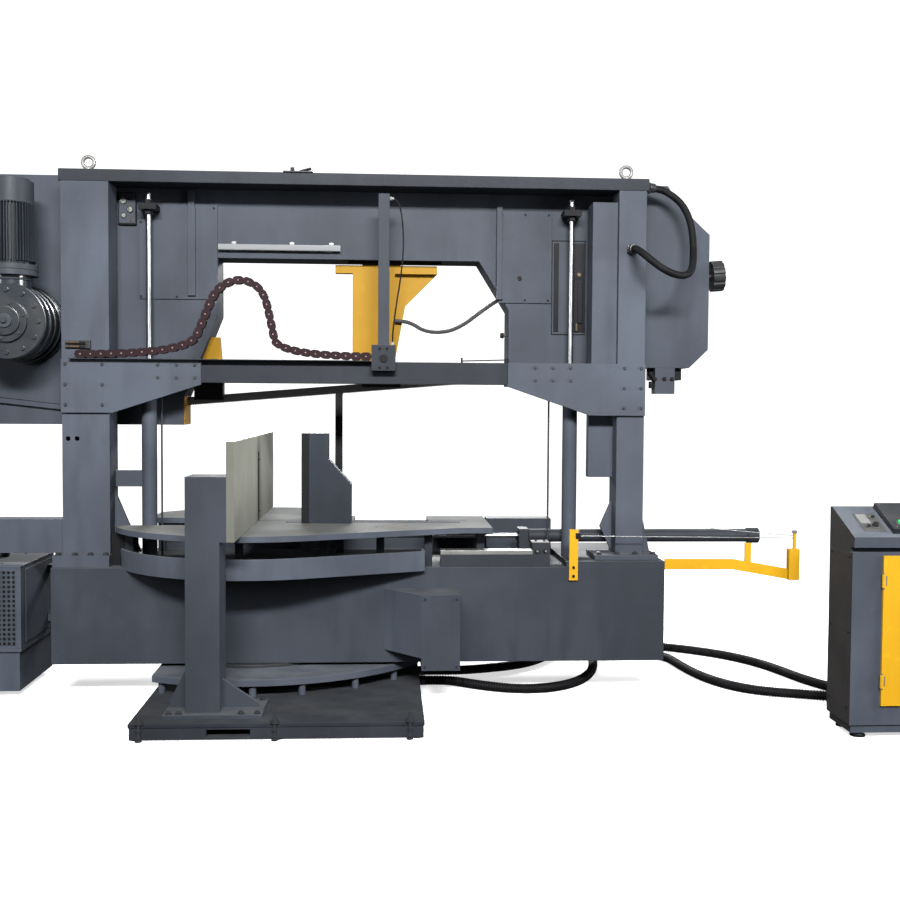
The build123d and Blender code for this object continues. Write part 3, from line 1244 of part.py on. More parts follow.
NODES = {
    "base_frame": base_frame, "levelling_feet": levelling_feet, "base_plate": base_plate,
    "track_posts": track_posts, "track_plate": track_plate, "fence_pillars": fence_pillars,
    "fence_plates": fence_plates, "conduit_glands": conduit_glands, "conduit_front": conduit_front,
    "conduit_rear": conduit_rear, "console_body": console_body, "console_panel": console_panel,
    "console_screen": console_screen, "console_door": console_door, "emergency_stop": emergency_stop,
    "selector_knob": selector_knob, "slew_ring": slew_ring, "main_beam": main_beam,
    "drive_housing": drive_housing, "chip_tray": chip_tray, "table_plate": table_plate,
    "table_posts": table_posts, "left_column": left_column, "right_column": right_column,
    "top_beam": top_beam, "gate_bolts": gate_bolts, "cross_member": cross_member,
    "cross_plates": cross_plates, "guide_rails": guide_rails, "lift_barrels": lift_barrels,
    "switch_post": switch_post, "energy_chain": energy_chain, "column_conduit": column_conduit,
    "vice_rail": vice_rail, "vice_cylinder": vice_cylinder, "switch_cable": switch_cable,
    "trip_brackets": trip_brackets, "trip_wires": trip_wires, "hydraulic_cabinet": hydraulic_cabinet,
    "bow_frame": bow_frame, "bow_covers": bow_covers, "bow_carriages": bow_carriages,
    "lift_rods": lift_rods, "motor": motor, "gear_box": gear_box, "saw_blade": saw_blade,
    "fixed_guide": fixed_guide, "guide_rail": guide_rail, "work_lamp": work_lamp,
    "drive_wheel": drive_wheel, "idler_wheel": idler_wheel, "tension_slide": tension_slide,
    "tension_knob": tension_knob, "guide_bracket": guide_bracket, "guide_hose": guide_hose,
    "moving_jaw": moving_jaw, "rear_door_left": rear_door_left, "rear_door_right": rear_door_right,
}

os.makedirs("parts", exist_ok=True)
for node, make in NODES.items():
    export_step(make(), f"parts/{node}.step")
for node, place in (("start_button", START_U), ("stop_button", STOP_U)):
    export_step(push_button(place), f"parts/{node}.step")
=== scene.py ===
"""Double column mitre band saw, dressed for its portrait."""

import json
import math

import bmesh
import bpy
from bpy.props import FloatProperty, FloatVectorProperty, IntProperty, PointerProperty
from mathutils import Matrix, Vector


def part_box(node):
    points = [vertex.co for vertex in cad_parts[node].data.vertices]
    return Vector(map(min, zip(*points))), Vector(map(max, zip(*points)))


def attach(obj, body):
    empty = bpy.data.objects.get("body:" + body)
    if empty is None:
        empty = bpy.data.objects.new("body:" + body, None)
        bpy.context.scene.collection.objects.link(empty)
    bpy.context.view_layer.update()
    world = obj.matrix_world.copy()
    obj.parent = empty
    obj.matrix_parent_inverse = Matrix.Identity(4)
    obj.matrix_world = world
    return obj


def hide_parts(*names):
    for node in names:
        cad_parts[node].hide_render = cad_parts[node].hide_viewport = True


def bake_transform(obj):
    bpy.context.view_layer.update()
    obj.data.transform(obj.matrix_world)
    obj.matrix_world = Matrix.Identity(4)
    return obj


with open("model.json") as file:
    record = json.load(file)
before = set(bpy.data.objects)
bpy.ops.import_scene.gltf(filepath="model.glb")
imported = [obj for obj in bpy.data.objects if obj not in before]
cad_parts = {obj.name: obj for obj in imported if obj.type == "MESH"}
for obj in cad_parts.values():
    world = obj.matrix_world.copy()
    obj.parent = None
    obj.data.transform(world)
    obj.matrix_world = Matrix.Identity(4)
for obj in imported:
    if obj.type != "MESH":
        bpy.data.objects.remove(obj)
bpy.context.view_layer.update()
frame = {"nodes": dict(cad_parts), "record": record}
SLOTS = {part["node"]: part["material_slot"] for part in frame["record"]["subparts"]}
BODIES = {node: body for body, nodes in frame["record"]["behaviour"]["bodies"].items() for node in nodes}

bl_info = {
    "name": "Double Column Band Saw",
    "version": (1, 0, 0),
    "blender": (4, 5, 0),
    "location": "3D View > Sidebar > Band Saw",
    "description": "Dresses the packed band saw with its fittings, finishes and studio stage",
    "category": "Object",
}

# Where the cords run, as control points in metres. A floor conduit's points give their share of its
# reach in X, then Y, and Z where it doesn't lie on the floor.
FLOOR_RUN = 0.026
CONDUIT_START, FRONT_END, REAR_END = 0.874, 3.06, 3.216
FRONT_ROUTE = [
    (0, -0.15, 0.031), (0.032, -0.15, 0.031), (0.0563, -0.156, 0.03), (0.0791, -0.173, 0.028),
    (0.1006, -0.2), (0.1331, -0.246), (0.172, -0.29), (0.2155, -0.318), (0.2589, -0.318), (0.3001, -0.29),
    (0.3376, -0.236), (0.3696, -0.16), (0.3952, -0.068), (0.4154, 0.038), (0.4291, 0.15), (0.4382, 0.262),
    (0.4446, 0.341), (0.4629, 0.41), (0.4909, 0.461), (0.5252, 0.488), (0.5618, 0.488), (0.5961, 0.461),
    (0.624, 0.41), (0.6423, 0.341), (0.6487, 0.262), (0.6542, 0.15), (0.6624, 0.032), (0.6752, -0.086),
    (0.6944, -0.198), (0.7219, -0.298), (0.7598, -0.38), (0.8056, -0.432), (0.8536, -0.466), (0.8838, -0.492),
    (0.9131, -0.522, 0.028), (0.9405, -0.555, 0.033), (0.9607, -0.587, 0.043), (0.9771, -0.627, 0.057),
    (0.9895, -0.674, 0.071), (0.9973, -0.726, 0.081), (1, -0.78, 0.086), (1, -0.846, 0.086),
]
REAR_ROUTE = [
    (0, 0.06, 0.031), (0.0299, 0.06, 0.031), (0.0683, 0.07, 0.028), (0.111, 0.096), (0.1563, 0.13),
    (0.2011, 0.172), (0.2425, 0.232), (0.2758, 0.31), (0.3023, 0.4), (0.3292, 0.494), (0.3629, 0.576),
    (0.4048, 0.64), (0.4526, 0.68), (0.5047, 0.692), (0.5568, 0.68), (0.6046, 0.642), (0.649, 0.586),
    (0.6909, 0.518), (0.731, 0.44), (0.766, 0.348), (0.795, 0.24), (0.8173, 0.12), (0.8335, -0.006),
    (0.8488, -0.134), (0.8685, -0.256), (0.8941, -0.366), (0.9249, -0.464), (0.9458, -0.524, 0.031),
    (0.9637, -0.579, 0.043), (0.9787, -0.627, 0.057), (0.9902, -0.674, 0.071), (0.9974, -0.726, 0.081),
    (1, -0.78, 0.086), (1, -0.846, 0.086),
]
LOOP_START = 1.98587
LOOP_ROUTE = [
    (0, -0.215, 2.575), (0.067, -0.215, 2.575), (0.129, -0.223, 2.543), (0.179, -0.232, 2.499),
    (0.212, -0.243, 2.441), (0.229, -0.253, 2.376), (0.236, -0.260, 2.309), (0.234, -0.276, 2.244),
    (0.223, -0.314, 2.189), (0.203, -0.363, 2.146), (0.172, -0.415, 2.116), (0.125, -0.462, 2.103),
    (0.066, -0.491, 2.112), (0.006, -0.499, 2.142), (-0.041, -0.478, 2.185), (-0.069, -0.430, 2.222),
    (-0.086, -0.367, 2.250), (-0.086, -0.300, 2.250),
]
HOSE_START, HOSE_END = 0.710, 1.25993
HOSE_ROUTE = [
    (0, -0.016, 1.900), (0.093, -0.016, 1.900), (0.182, -0.020, 1.882), (0.259, -0.025, 1.855),
    (0.350, -0.028, 1.843), (0.443, -0.028, 1.843), (0.534, -0.027, 1.852), (0.619, -0.025, 1.873),
    (0.698, -0.024, 1.900), (0.772, -0.022, 1.931), (0.847, -0.021, 1.962), (0.922, -0.020, 1.992),
    (1, -0.020, 2.0193),
]
CABLE_ROUTE = [
    (0.68, -0.325, 2.48), (0.7, -0.325, 2.478), (0.717, -0.326, 2.468), (0.728, -0.327, 2.45),
    (0.736, -0.328, 2.42), (0.743, -0.33, 2.37), (0.748, -0.331, 2.31), (0.749, -0.331, 2.245),
    (0.746, -0.331, 2.18), (0.738, -0.33, 2.11), (0.728, -0.329, 2.04), (0.717, -0.328, 1.97),
    (0.707, -0.327, 1.9), (0.7, -0.326, 1.84), (0.697, -0.325, 1.79), (0.696, -0.325, 1.757),
]
CHAIN_Y = -0.324
CHAIN_ROUTE = [
    (-0.850, 1.700), (-0.305, 1.700), (-0.225, 1.890), (-0.172, 2.025), (-0.060, 2.082), (0.058, 2.032),
    (0.098, 1.865), (0.128, 1.700), (0.590, 1.700),
]
TRIP_WIRES = [
    ((1.62657, -0.388, 0.812), (2.7256, -0.376, 0.800)),
    ((1.9742, -0.288, 0.870), (2.7354, -0.3645, 0.810)),
]

# The camera that the portrait was fitted with.
EYE = (0.6585, -5.8934, 1.4693)
YAW, PITCH, ROLL = 0.0588, 0.0416, 0.0064
LENS, SENSOR = 44.616, 36.0

# Directions, in the saw's frame.
RIGHT, LEFT, BACK, FRONT, UP = (1, 0, 0), (-1, 0, 0), (0, 1, 0), (0, -1, 0), (0, 0, 1)


def length_property(name, description, default, least):
    return FloatProperty(name=name, description=description, default=default, min=least, unit="LENGTH")


class SawSizes(bpy.types.PropertyGroup):
    """Sizes of the fittings that the scene adds."""
    edge: length_property("Edge Break", "Rounding on most plate edges", 0.002, 0.0005)
    link_pitch: length_property("Chain Pitch", "Length of one link of the energy chain", 0.050, 0.01)
    conduit_ribs: IntProperty(name="Conduit Ribs", description="Ribs on each metre of a floor conduit",
                              default=70, min=20)
    hose_ribs: IntProperty(name="Hose Ribs", description="Ribs on each metre of the guide hose",
                           default=98, min=10)
    tooth_pitch: length_property("Tooth Pitch", "Distance between saw teeth", 0.012, 0.004)


def colour_property(name, description, default):
    return FloatVectorProperty(name=name, description=description, default=default, subtype="COLOR")


class SawColours(bpy.types.PropertyGroup):
    """Finish colours of the saw."""
    housing: colour_property("Housing Paint", "Dark paint on the gate, bow and console", (0.036, 0.042, 0.054))
    frame: colour_property("Frame Paint", "Darker paint on the base and boxes", (0.016, 0.018, 0.022))
    signal: colour_property("Signal Paint", "Yellow paint on the guides and trip arm", (0.36, 0.193, 0.006))
    table: colour_property("Table Steel", "Dull milled table top", (0.080, 0.085, 0.083))
    steel: colour_property("Milled Steel", "Vice and guide slides", (0.20, 0.203, 0.195))
    fence: colour_property("Fence Steel", "Ground fence plates", (0.25, 0.255, 0.215))
    motor: colour_property("Motor Paint", "Motor and gear box paint", (0.013, 0.016, 0.020))


def sizes():
    return bpy.context.scene.saw_sizes


def colours():
    return bpy.context.scene.saw_colours


# Finishes

class Socket:
    """A shader socket that takes ordinary arithmetic."""

    def __init__(self, finish, link):
        self.finish = finish
        self.link = link

    def math(self, operation, first, second):
        return self.finish.node("ShaderNodeMath", {"operation": operation}, {0: first, 1: second})

    def __add__(self, other):
        return self.math("ADD", self, other)

    def __sub__(self, other):
        return self.math("SUBTRACT", self, other)

    def __rsub__(self, other):
        return self.math("SUBTRACT", other, self)

    def __mul__(self, other):
        return self.math("MULTIPLY", self, other)

    def __mod__(self, other):
        return self.math("FLOORED_MODULO", self, other)

    def rise(self, low, high):
        """Goes smoothly from 0 at low to 1 at high."""
        return self.finish.node("ShaderNodeMapRange", {"interpolation_type": "SMOOTHSTEP"},
                                {"Value": self, "From Min": low, "From Max": high})


class Finish:
    """A material with its node maker."""

    def __init__(self, name):
        self.material = bpy.data.materials.new(name)
        self.material.use_nodes = True
        self.tree = self.material.node_tree
        self.shader = self.tree.nodes["Principled BSDF"]
        self.place = self.node("ShaderNodeTexCoord", output="Object")

    def feed(self, target, value):
        if isinstance(value, Socket):
            self.tree.links.new(value.link, target)
        elif target.type == "RGBA" and len(value) == 3:
            target.default_value = (*value, 1.0)
        else:
            target.default_value = value

    def node(self, kind, settings=None, inputs=None, output=0):
        made = self.tree.nodes.new(kind)
        for name, value in (settings or {}).items():
            setattr(made, name, value)
        for name, value in (inputs or {}).items():
            self.feed(made.inputs[name], value)
        return Socket(self, made.outputs[output])

    def noise(self, scale, detail=2.0, stretch=None):
        place = self.place
        if stretch:
            place = self.node("ShaderNodeMapping", {}, {"Vector": place, "Scale": stretch})
        return self.node("ShaderNodeTexNoise", {}, {"Vector": place, "Scale": scale, "Detail": detail})

    def mix(self, share, first, second):
        return self.node("ShaderNodeMix", {"data_type": "RGBA"}, {0: share, 6: first, 7: second}, output=2)

    def coats(self, tone, colour, *coats):
        """Lays coats over a tone, each by its share and its own colour or a factor of the main one."""
        for share, coat in coats:
            tone = self.mix(share, tone, shade(colour, coat) if isinstance(coat, float) else coat)
        return tone

    def axis(self, name, source=None):
        return self.node("ShaderNodeSeparateXYZ", {}, {0: source or self.place}, output=name)

    def upward(self):
        """1 on surfaces that face up, where dust settles."""
        normal = self.node("ShaderNodeNewGeometry", output="Normal")
        return self.axis("Z", normal).rise(0.6, 0.98)

    def bump(self, height, strength, depth):
        return self.node("ShaderNodeBump", {}, {"Height": height, "Strength": strength, "Distance": depth})

    def done(self, **sockets):
        for name, value in sockets.items():
            self.feed(self.shader.inputs[name.replace("_", " ")], value)
        return self.material


def shade(colour, factor):
    return tuple(min(1.0, part * factor) for part in colour)


def tint(colour):
    """A colour given as numbers, or as a property's name and a share of it."""
    return shade(getattr(colours(), colour[0]), colour[1]) if isinstance(colour[0], str) else colour


MATT_PAINT = 0.12
DUST = (0.40, 0.40, 0.38)
RUST_BLOOM, RUST_SPOT = (0.135, 0.105, 0.070), (0.10, 0.070, 0.045)


def sprayed(name, colour, roughness=0.60, dust=0.10, peel=0.22, mottle=1.0):
    """Textured spray paint: orange peel, clouds, oily runs, dust on top and rubbed spots."""
    f, colour = Finish(name), tint(colour)
    cloud = f.noise(1.9, 3.0).rise(0.32, 0.68)
    grain = f.noise(520.0, 2.0)
    run = f.noise(11.0, 5.0, (1.0, 1.0, 0.22)).rise(0.44, 0.72)
    rub = f.noise(23.0, 5.0).rise(0.60, 0.74)
    settled = f.upward() * (f.noise(7.0, 5.0).rise(0.30, 0.75) * 0.6 + 0.4) * dust
    tone = f.mix(cloud, shade(colour, 1 - 0.20 * mottle), shade(colour, 1 + 0.16 * mottle))
    tone = f.coats(tone, colour, (run * (0.5 * mottle), 0.70), (rub * 0.16, 1.7),
                   (grain.rise(0.60, 0.78) * 0.30, 1.6), (settled, DUST))
    gloss = (f.noise(60.0, 3.0) - 0.5) * 0.16 + rub * 0.08 + settled * 0.8 + roughness
    return f.done(Base_Color=tone, Roughness=gloss, Specular_IOR_Level=MATT_PAINT,
                  Normal=f.bump(grain, peel, 0.0006))


def brushed(name, colour, roughness, along, metal=0.85, stain=0.30, shine=0.4, painted_low_shade=False):
    """Machined metal with tool lines along one direction and oil haze; scratched, or darkened towards the table as
    painted shade.
    """
    f, colour = Finish(name), tint(colour)
    lines = f.noise(900.0, 2.0, tuple(0.02 if axis == along else 1.0 for axis in "XYZ"))
    haze = f.noise(3.1, 5.0).rise(0.35, 0.72)
    spots = f.noise(46.0, 4.0).rise(0.66, 0.74)
    if painted_low_shade:
        # Painted shade: the colour darkens down towards the table, below about 1.14 m.
        height = f.axis("Z") + (f.noise(5.0, 3.0) - 0.5) * 0.10
        shade_and_wear = ((1 - height.rise(0.84, 1.14)) * 0.85, 0.42)
    else:
        shade_and_wear = (f.noise(70.0, 2.0, (0.05, 1.0, 1.0)).rise(0.70, 0.73) * 0.5, 1.6)
    tone = f.mix(lines, shade(colour, 0.86), shade(colour, 1.10))
    tone = f.coats(tone, colour, (haze * stain, 0.62), (spots * 0.35, 0.45), shade_and_wear)
    gloss = (lines - 0.5) * 0.22 + haze * 0.14 + roughness
    return f.done(Base_Color=tone, Roughness=gloss, Metallic=metal, Specular_IOR_Level=shine,
                  Normal=f.bump(lines, 0.14, 0.0003))


def milled_table(name, colour):
    """Table top: cutter sweeps, oil stain and rust freckles on dull steel."""
    f, colour = Finish(name), tint(colour)
    sweep = f.node("ShaderNodeTexWave", {"wave_type": "RINGS", "rings_direction": "Z"},
                   {"Vector": f.place, "Scale": 34.0, "Distortion": 1.5, "Detail": 2.0})
    haze = f.noise(2.3, 5.0).rise(0.32, 0.70)
    scratch = f.noise(60.0, 2.0, (0.04, 1.0, 1.0)).rise(0.69, 0.73)
    freckle = f.noise(120.0, 4.0).rise(0.62, 0.74)
    bloom = f.noise(9.0, 6.0).rise(0.54, 0.72)
    tone = f.mix(sweep * 0.5, shade(colour, 0.90), shade(colour, 1.10))
    tone = f.coats(tone, colour, (haze * 0.55, 0.66), (bloom * 0.35, RUST_BLOOM), (freckle * 0.40, RUST_SPOT),
                   (scratch * 0.40, 1.9))
    gloss = sweep * 0.08 + haze * 0.16 + 0.62
    return f.done(Base_Color=tone, Roughness=gloss, Specular_IOR_Level=0.02, Normal=f.bump(sweep, 0.05, 0.0003))


def chromed(name):
    """Hard chrome rod with faint wiping streaks and an oil film."""
    f = Finish(name)
    streak = f.noise(300.0, 2.0, (1.0, 1.0, 0.02))
    film = f.noise(9.0, 3.0).rise(0.45, 0.75)
    tone = f.mix(film * 0.4, (0.28, 0.29, 0.30), (0.19, 0.19, 0.185))
    return f.done(Base_Color=tone, Roughness=streak * 0.10 + film * 0.12 + 0.26, Metallic=1.0)


def perforated(name, colour, pitch=0.0235, hole=0.0072, rim=0.0086):
    """Painted sheet punched with a close grid of round holes; the holes are near-black dots, painted shade of the
    dark behind them.
    """
    f, colour = Finish(name), tint(colour)
    across, upright = f.axis("X") % pitch - pitch / 2, f.axis("Z") % pitch - pitch / 2
    metal = (across * across + upright * upright).rise(hole ** 2, rim ** 2)
    cloud = f.noise(4.0, 3.0).rise(0.32, 0.68)
    tone = f.mix(metal, (0.004, 0.004, 0.005), f.mix(cloud, shade(colour, 0.70), colour))
    return f.done(Base_Color=tone, Roughness=0.9 - metal * 0.4, Specular_IOR_Level=MATT_PAINT,
                  Normal=f.bump(metal, 0.5, 0.001))


def oily_casting(name, colour):
    """Dark glossy casting with an oil sheen and dusty hollows."""
    f, colour = Finish(name), tint(colour)
    sand = f.noise(170.0, 4.0)
    oil = f.noise(6.5, 5.0).rise(0.36, 0.66)
    dusty = f.noise(26.0, 5.0).rise(0.56, 0.74) * f.upward()
    tone = f.mix(oil, shade(colour, 0.55), shade(colour, 1.15))
    tone = f.mix(dusty * 0.4, tone, (0.20, 0.20, 0.19))
    gloss = oil * -0.16 + dusty * 0.3 + 0.36
    return f.done(Base_Color=tone, Roughness=gloss, Coat_Weight=oil * 0.5, Normal=f.bump(sand, 0.30, 0.0007))


def cast_iron(name):
    """Machined rim and rough cast web of a band wheel."""
    f = Finish(name)
    sand = f.noise(240.0, 4.0)
    cloud = f.noise(6.0, 4.0).rise(0.35, 0.70)
    tone = f.mix(cloud, (0.10, 0.10, 0.10), (0.17, 0.165, 0.155))
    tone = f.mix(sand.rise(0.6, 0.75) * 0.4, tone, (0.30, 0.29, 0.27))
    return f.done(Base_Color=tone, Roughness=cloud * 0.2 + 0.42, Metallic=0.7, Normal=f.bump(sand, 0.35, 0.0008))


def rubbery(name, colour, roughness):
    """Black rubber or ribbed conduit with dust in the grain."""
    f = Finish(name)
    grain = f.noise(380.0, 3.0)
    dusty = f.noise(18.0, 4.0).rise(0.48, 0.78)
    tone = f.mix(dusty * 0.35, colour, shade(colour, 3.4))
    return f.done(Base_Color=tone, Roughness=dusty * 0.22 + roughness, Specular_IOR_Level=0.07,
                  Normal=f.bump(grain, 0.20, 0.0004))


def moulded(name, colour, roughness, shine=0.30):
    """Moulded plastic with a fine matt grain and handling shine."""
    f = Finish(name)
    grain = f.noise(760.0, 2.0)
    worn = f.noise(31.0, 3.0).rise(0.52, 0.74)
    tone = f.mix(worn * 0.4, colour, shade(colour, 1.35))
    return f.done(Base_Color=tone, Roughness=worn * -0.10 + roughness, Specular_IOR_Level=shine,
                  Normal=f.bump(grain, 0.18, 0.0003))


def glassy(name):
    """Switched-off operating screen behind glass."""
    f = Finish(name)
    smear = f.noise(14.0, 4.0).rise(0.50, 0.80)
    tone = f.mix(smear * 0.5, (0.010, 0.012, 0.016), (0.030, 0.034, 0.040))
    return f.done(Base_Color=tone, Roughness=smear * 0.16 + 0.06, Coat_Weight=0.6)


def frosted(name):
    """Frosted lamp strip, switched off."""
    f = Finish(name)
    frost = f.noise(420.0, 2.0)
    tone = f.mix(frost, (0.105, 0.110, 0.115), (0.14, 0.145, 0.15))
    return f.done(Base_Color=tone, Roughness=frost * 0.2 + 0.50, Specular_IOR_Level=0.15)


# Each finish by its name, with its maker and what that takes.
FINISHES = {
    "dark_paint": (sprayed, ("housing", 1.0)),
    # The bow's finish is the housing paint darkened: painted shade for the bow behind the columns and under the top
    # beam.
    "bow_paint": (sprayed, ("housing", 0.76)),
    # The housing paint at 0.60: painted shade on the beam, the drive housing, the fence pillars and the switch post.
    "beam_paint": (sprayed, ("housing", 0.60)),
    "shadow_paint": (sprayed, ("housing", 0.34), 0.60, 0.05),
    "deep_paint": (sprayed, ("frame", 1.0), 0.56, 0.06),
    "jaw_paint": (sprayed, (0.011, 0.014, 0.019), 0.56, 0.05),
    "yellow_paint": (sprayed, ("signal", 1.0), 0.50, 0.03, 0.12, 0.3),
    "guide_paint": (sprayed, ("signal", 0.55), 0.54, 0.03, 0.12, 0.4),
    "motor_paint": (sprayed, ("motor", 1.0), 0.46, 0.12, 0.14),
    "fan_paint": (sprayed, (0.026, 0.030, 0.037), 0.46, 0.10, 0.10),
    "side_paint": (sprayed, (0.024, 0.0225, 0.022), 0.56, 0.08),
    # The housing paint lightened: painted light on the sloping desk, which faces the lamps.
    "desk_paint": (sprayed, ("housing", 1.7), 0.56, 0.12),
    "gear_gloss": (oily_casting, ("motor", 1.0)),
    "punched_sheet": (perforated, ("housing", 1.0)),
    "machined_steel": (brushed, ("steel", 1.0), 0.34, "X"),
    "rail_steel": (brushed, (0.36, 0.36, 0.35), 0.28, "Z"),
    # The fence plates darken towards the table: painted shade.
    "fence_steel": (brushed, ("fence", 1.0), 0.52, "Z", 0.15, 0.45, 0.2, True),
    "fence_edge": (brushed, ("fence", 0.32), 0.50, "Z", 0.15, 0.45, 0.2),
    "table_steel": (milled_table, ("table", 1.0)),
    "blade_steel": (brushed, (0.15, 0.145, 0.14), 0.30, "X", 0.85, 0.3),
    "wire_steel": (brushed, (0.42, 0.42, 0.42), 0.30, "X", 0.9, 0.2),
    "bolt_steel": (brushed, (0.024, 0.025, 0.028), 0.46, "Z", 0.3, 0.3, 0.15),
    "zinc_steel": (brushed, (0.14, 0.14, 0.135), 0.42, "Z", 0.6, 0.4, 0.25),
    "black_steel": (brushed, (0.006, 0.006, 0.007), 0.52, "Z", 0.10, 0.2, 0.08),
    "brass": (brushed, (0.055, 0.040, 0.026), 0.46, "Z", 0.5, 0.4, 0.2),
    "lamp_metal": (brushed, (0.12, 0.125, 0.13), 0.50, "X", 0.1, 0.1, 0.15),
    "hard_chrome": (chromed,),
    "wheel_iron": (cast_iron,),
    "black_rubber": (rubbery, (0.0045, 0.0045, 0.005), 0.50),
    "hose_rubber": (rubbery, (0.030, 0.030, 0.031), 0.44),
    "chain_plastic": (moulded, (0.012, 0.0060, 0.0072), 0.62, 0.06),
    "chain_pin": (moulded, (0.16, 0.095, 0.10), 0.55, 0.15),
    "black_plastic": (moulded, (0.012, 0.012, 0.013), 0.38),
    "grey_plastic": (moulded, (0.15, 0.155, 0.15), 0.46),
    "white_plastic": (moulded, (0.085, 0.105, 0.088), 0.50),
    "red_plastic": (moulded, (0.52, 0.018, 0.014), 0.28),
    "green_plastic": (moulded, (0.02, 0.30, 0.07), 0.28),
    "lamp_lens": (frosted,),
    "screen_glass": (glassy,),
}
MADE = {}


def finish(name):
    """The named finish, made on first use."""
    if name not in MADE:
        maker, *options = FINISHES[name]
        MADE[name] = maker(name, *options)
    return MADE[name]


# Shape helpers

def turned_to(direction):
    """A turn that takes Z to the given direction."""
    return Vector(UP).rotation_difference(Vector(direction).normalized()).to_matrix().to_4x4()


def break_edges(part, edges, width, clamp=False):
    bmesh.ops.bevel(part, geom=edges, offset=width, offset_type="OFFSET", segments=2, profile=0.5,
                    affect="EDGES", clamp_overlap=clamp, material=-1)


FLAT_ANGLE, SHARP_ANGLE = math.radians(0.6), math.radians(32.0)


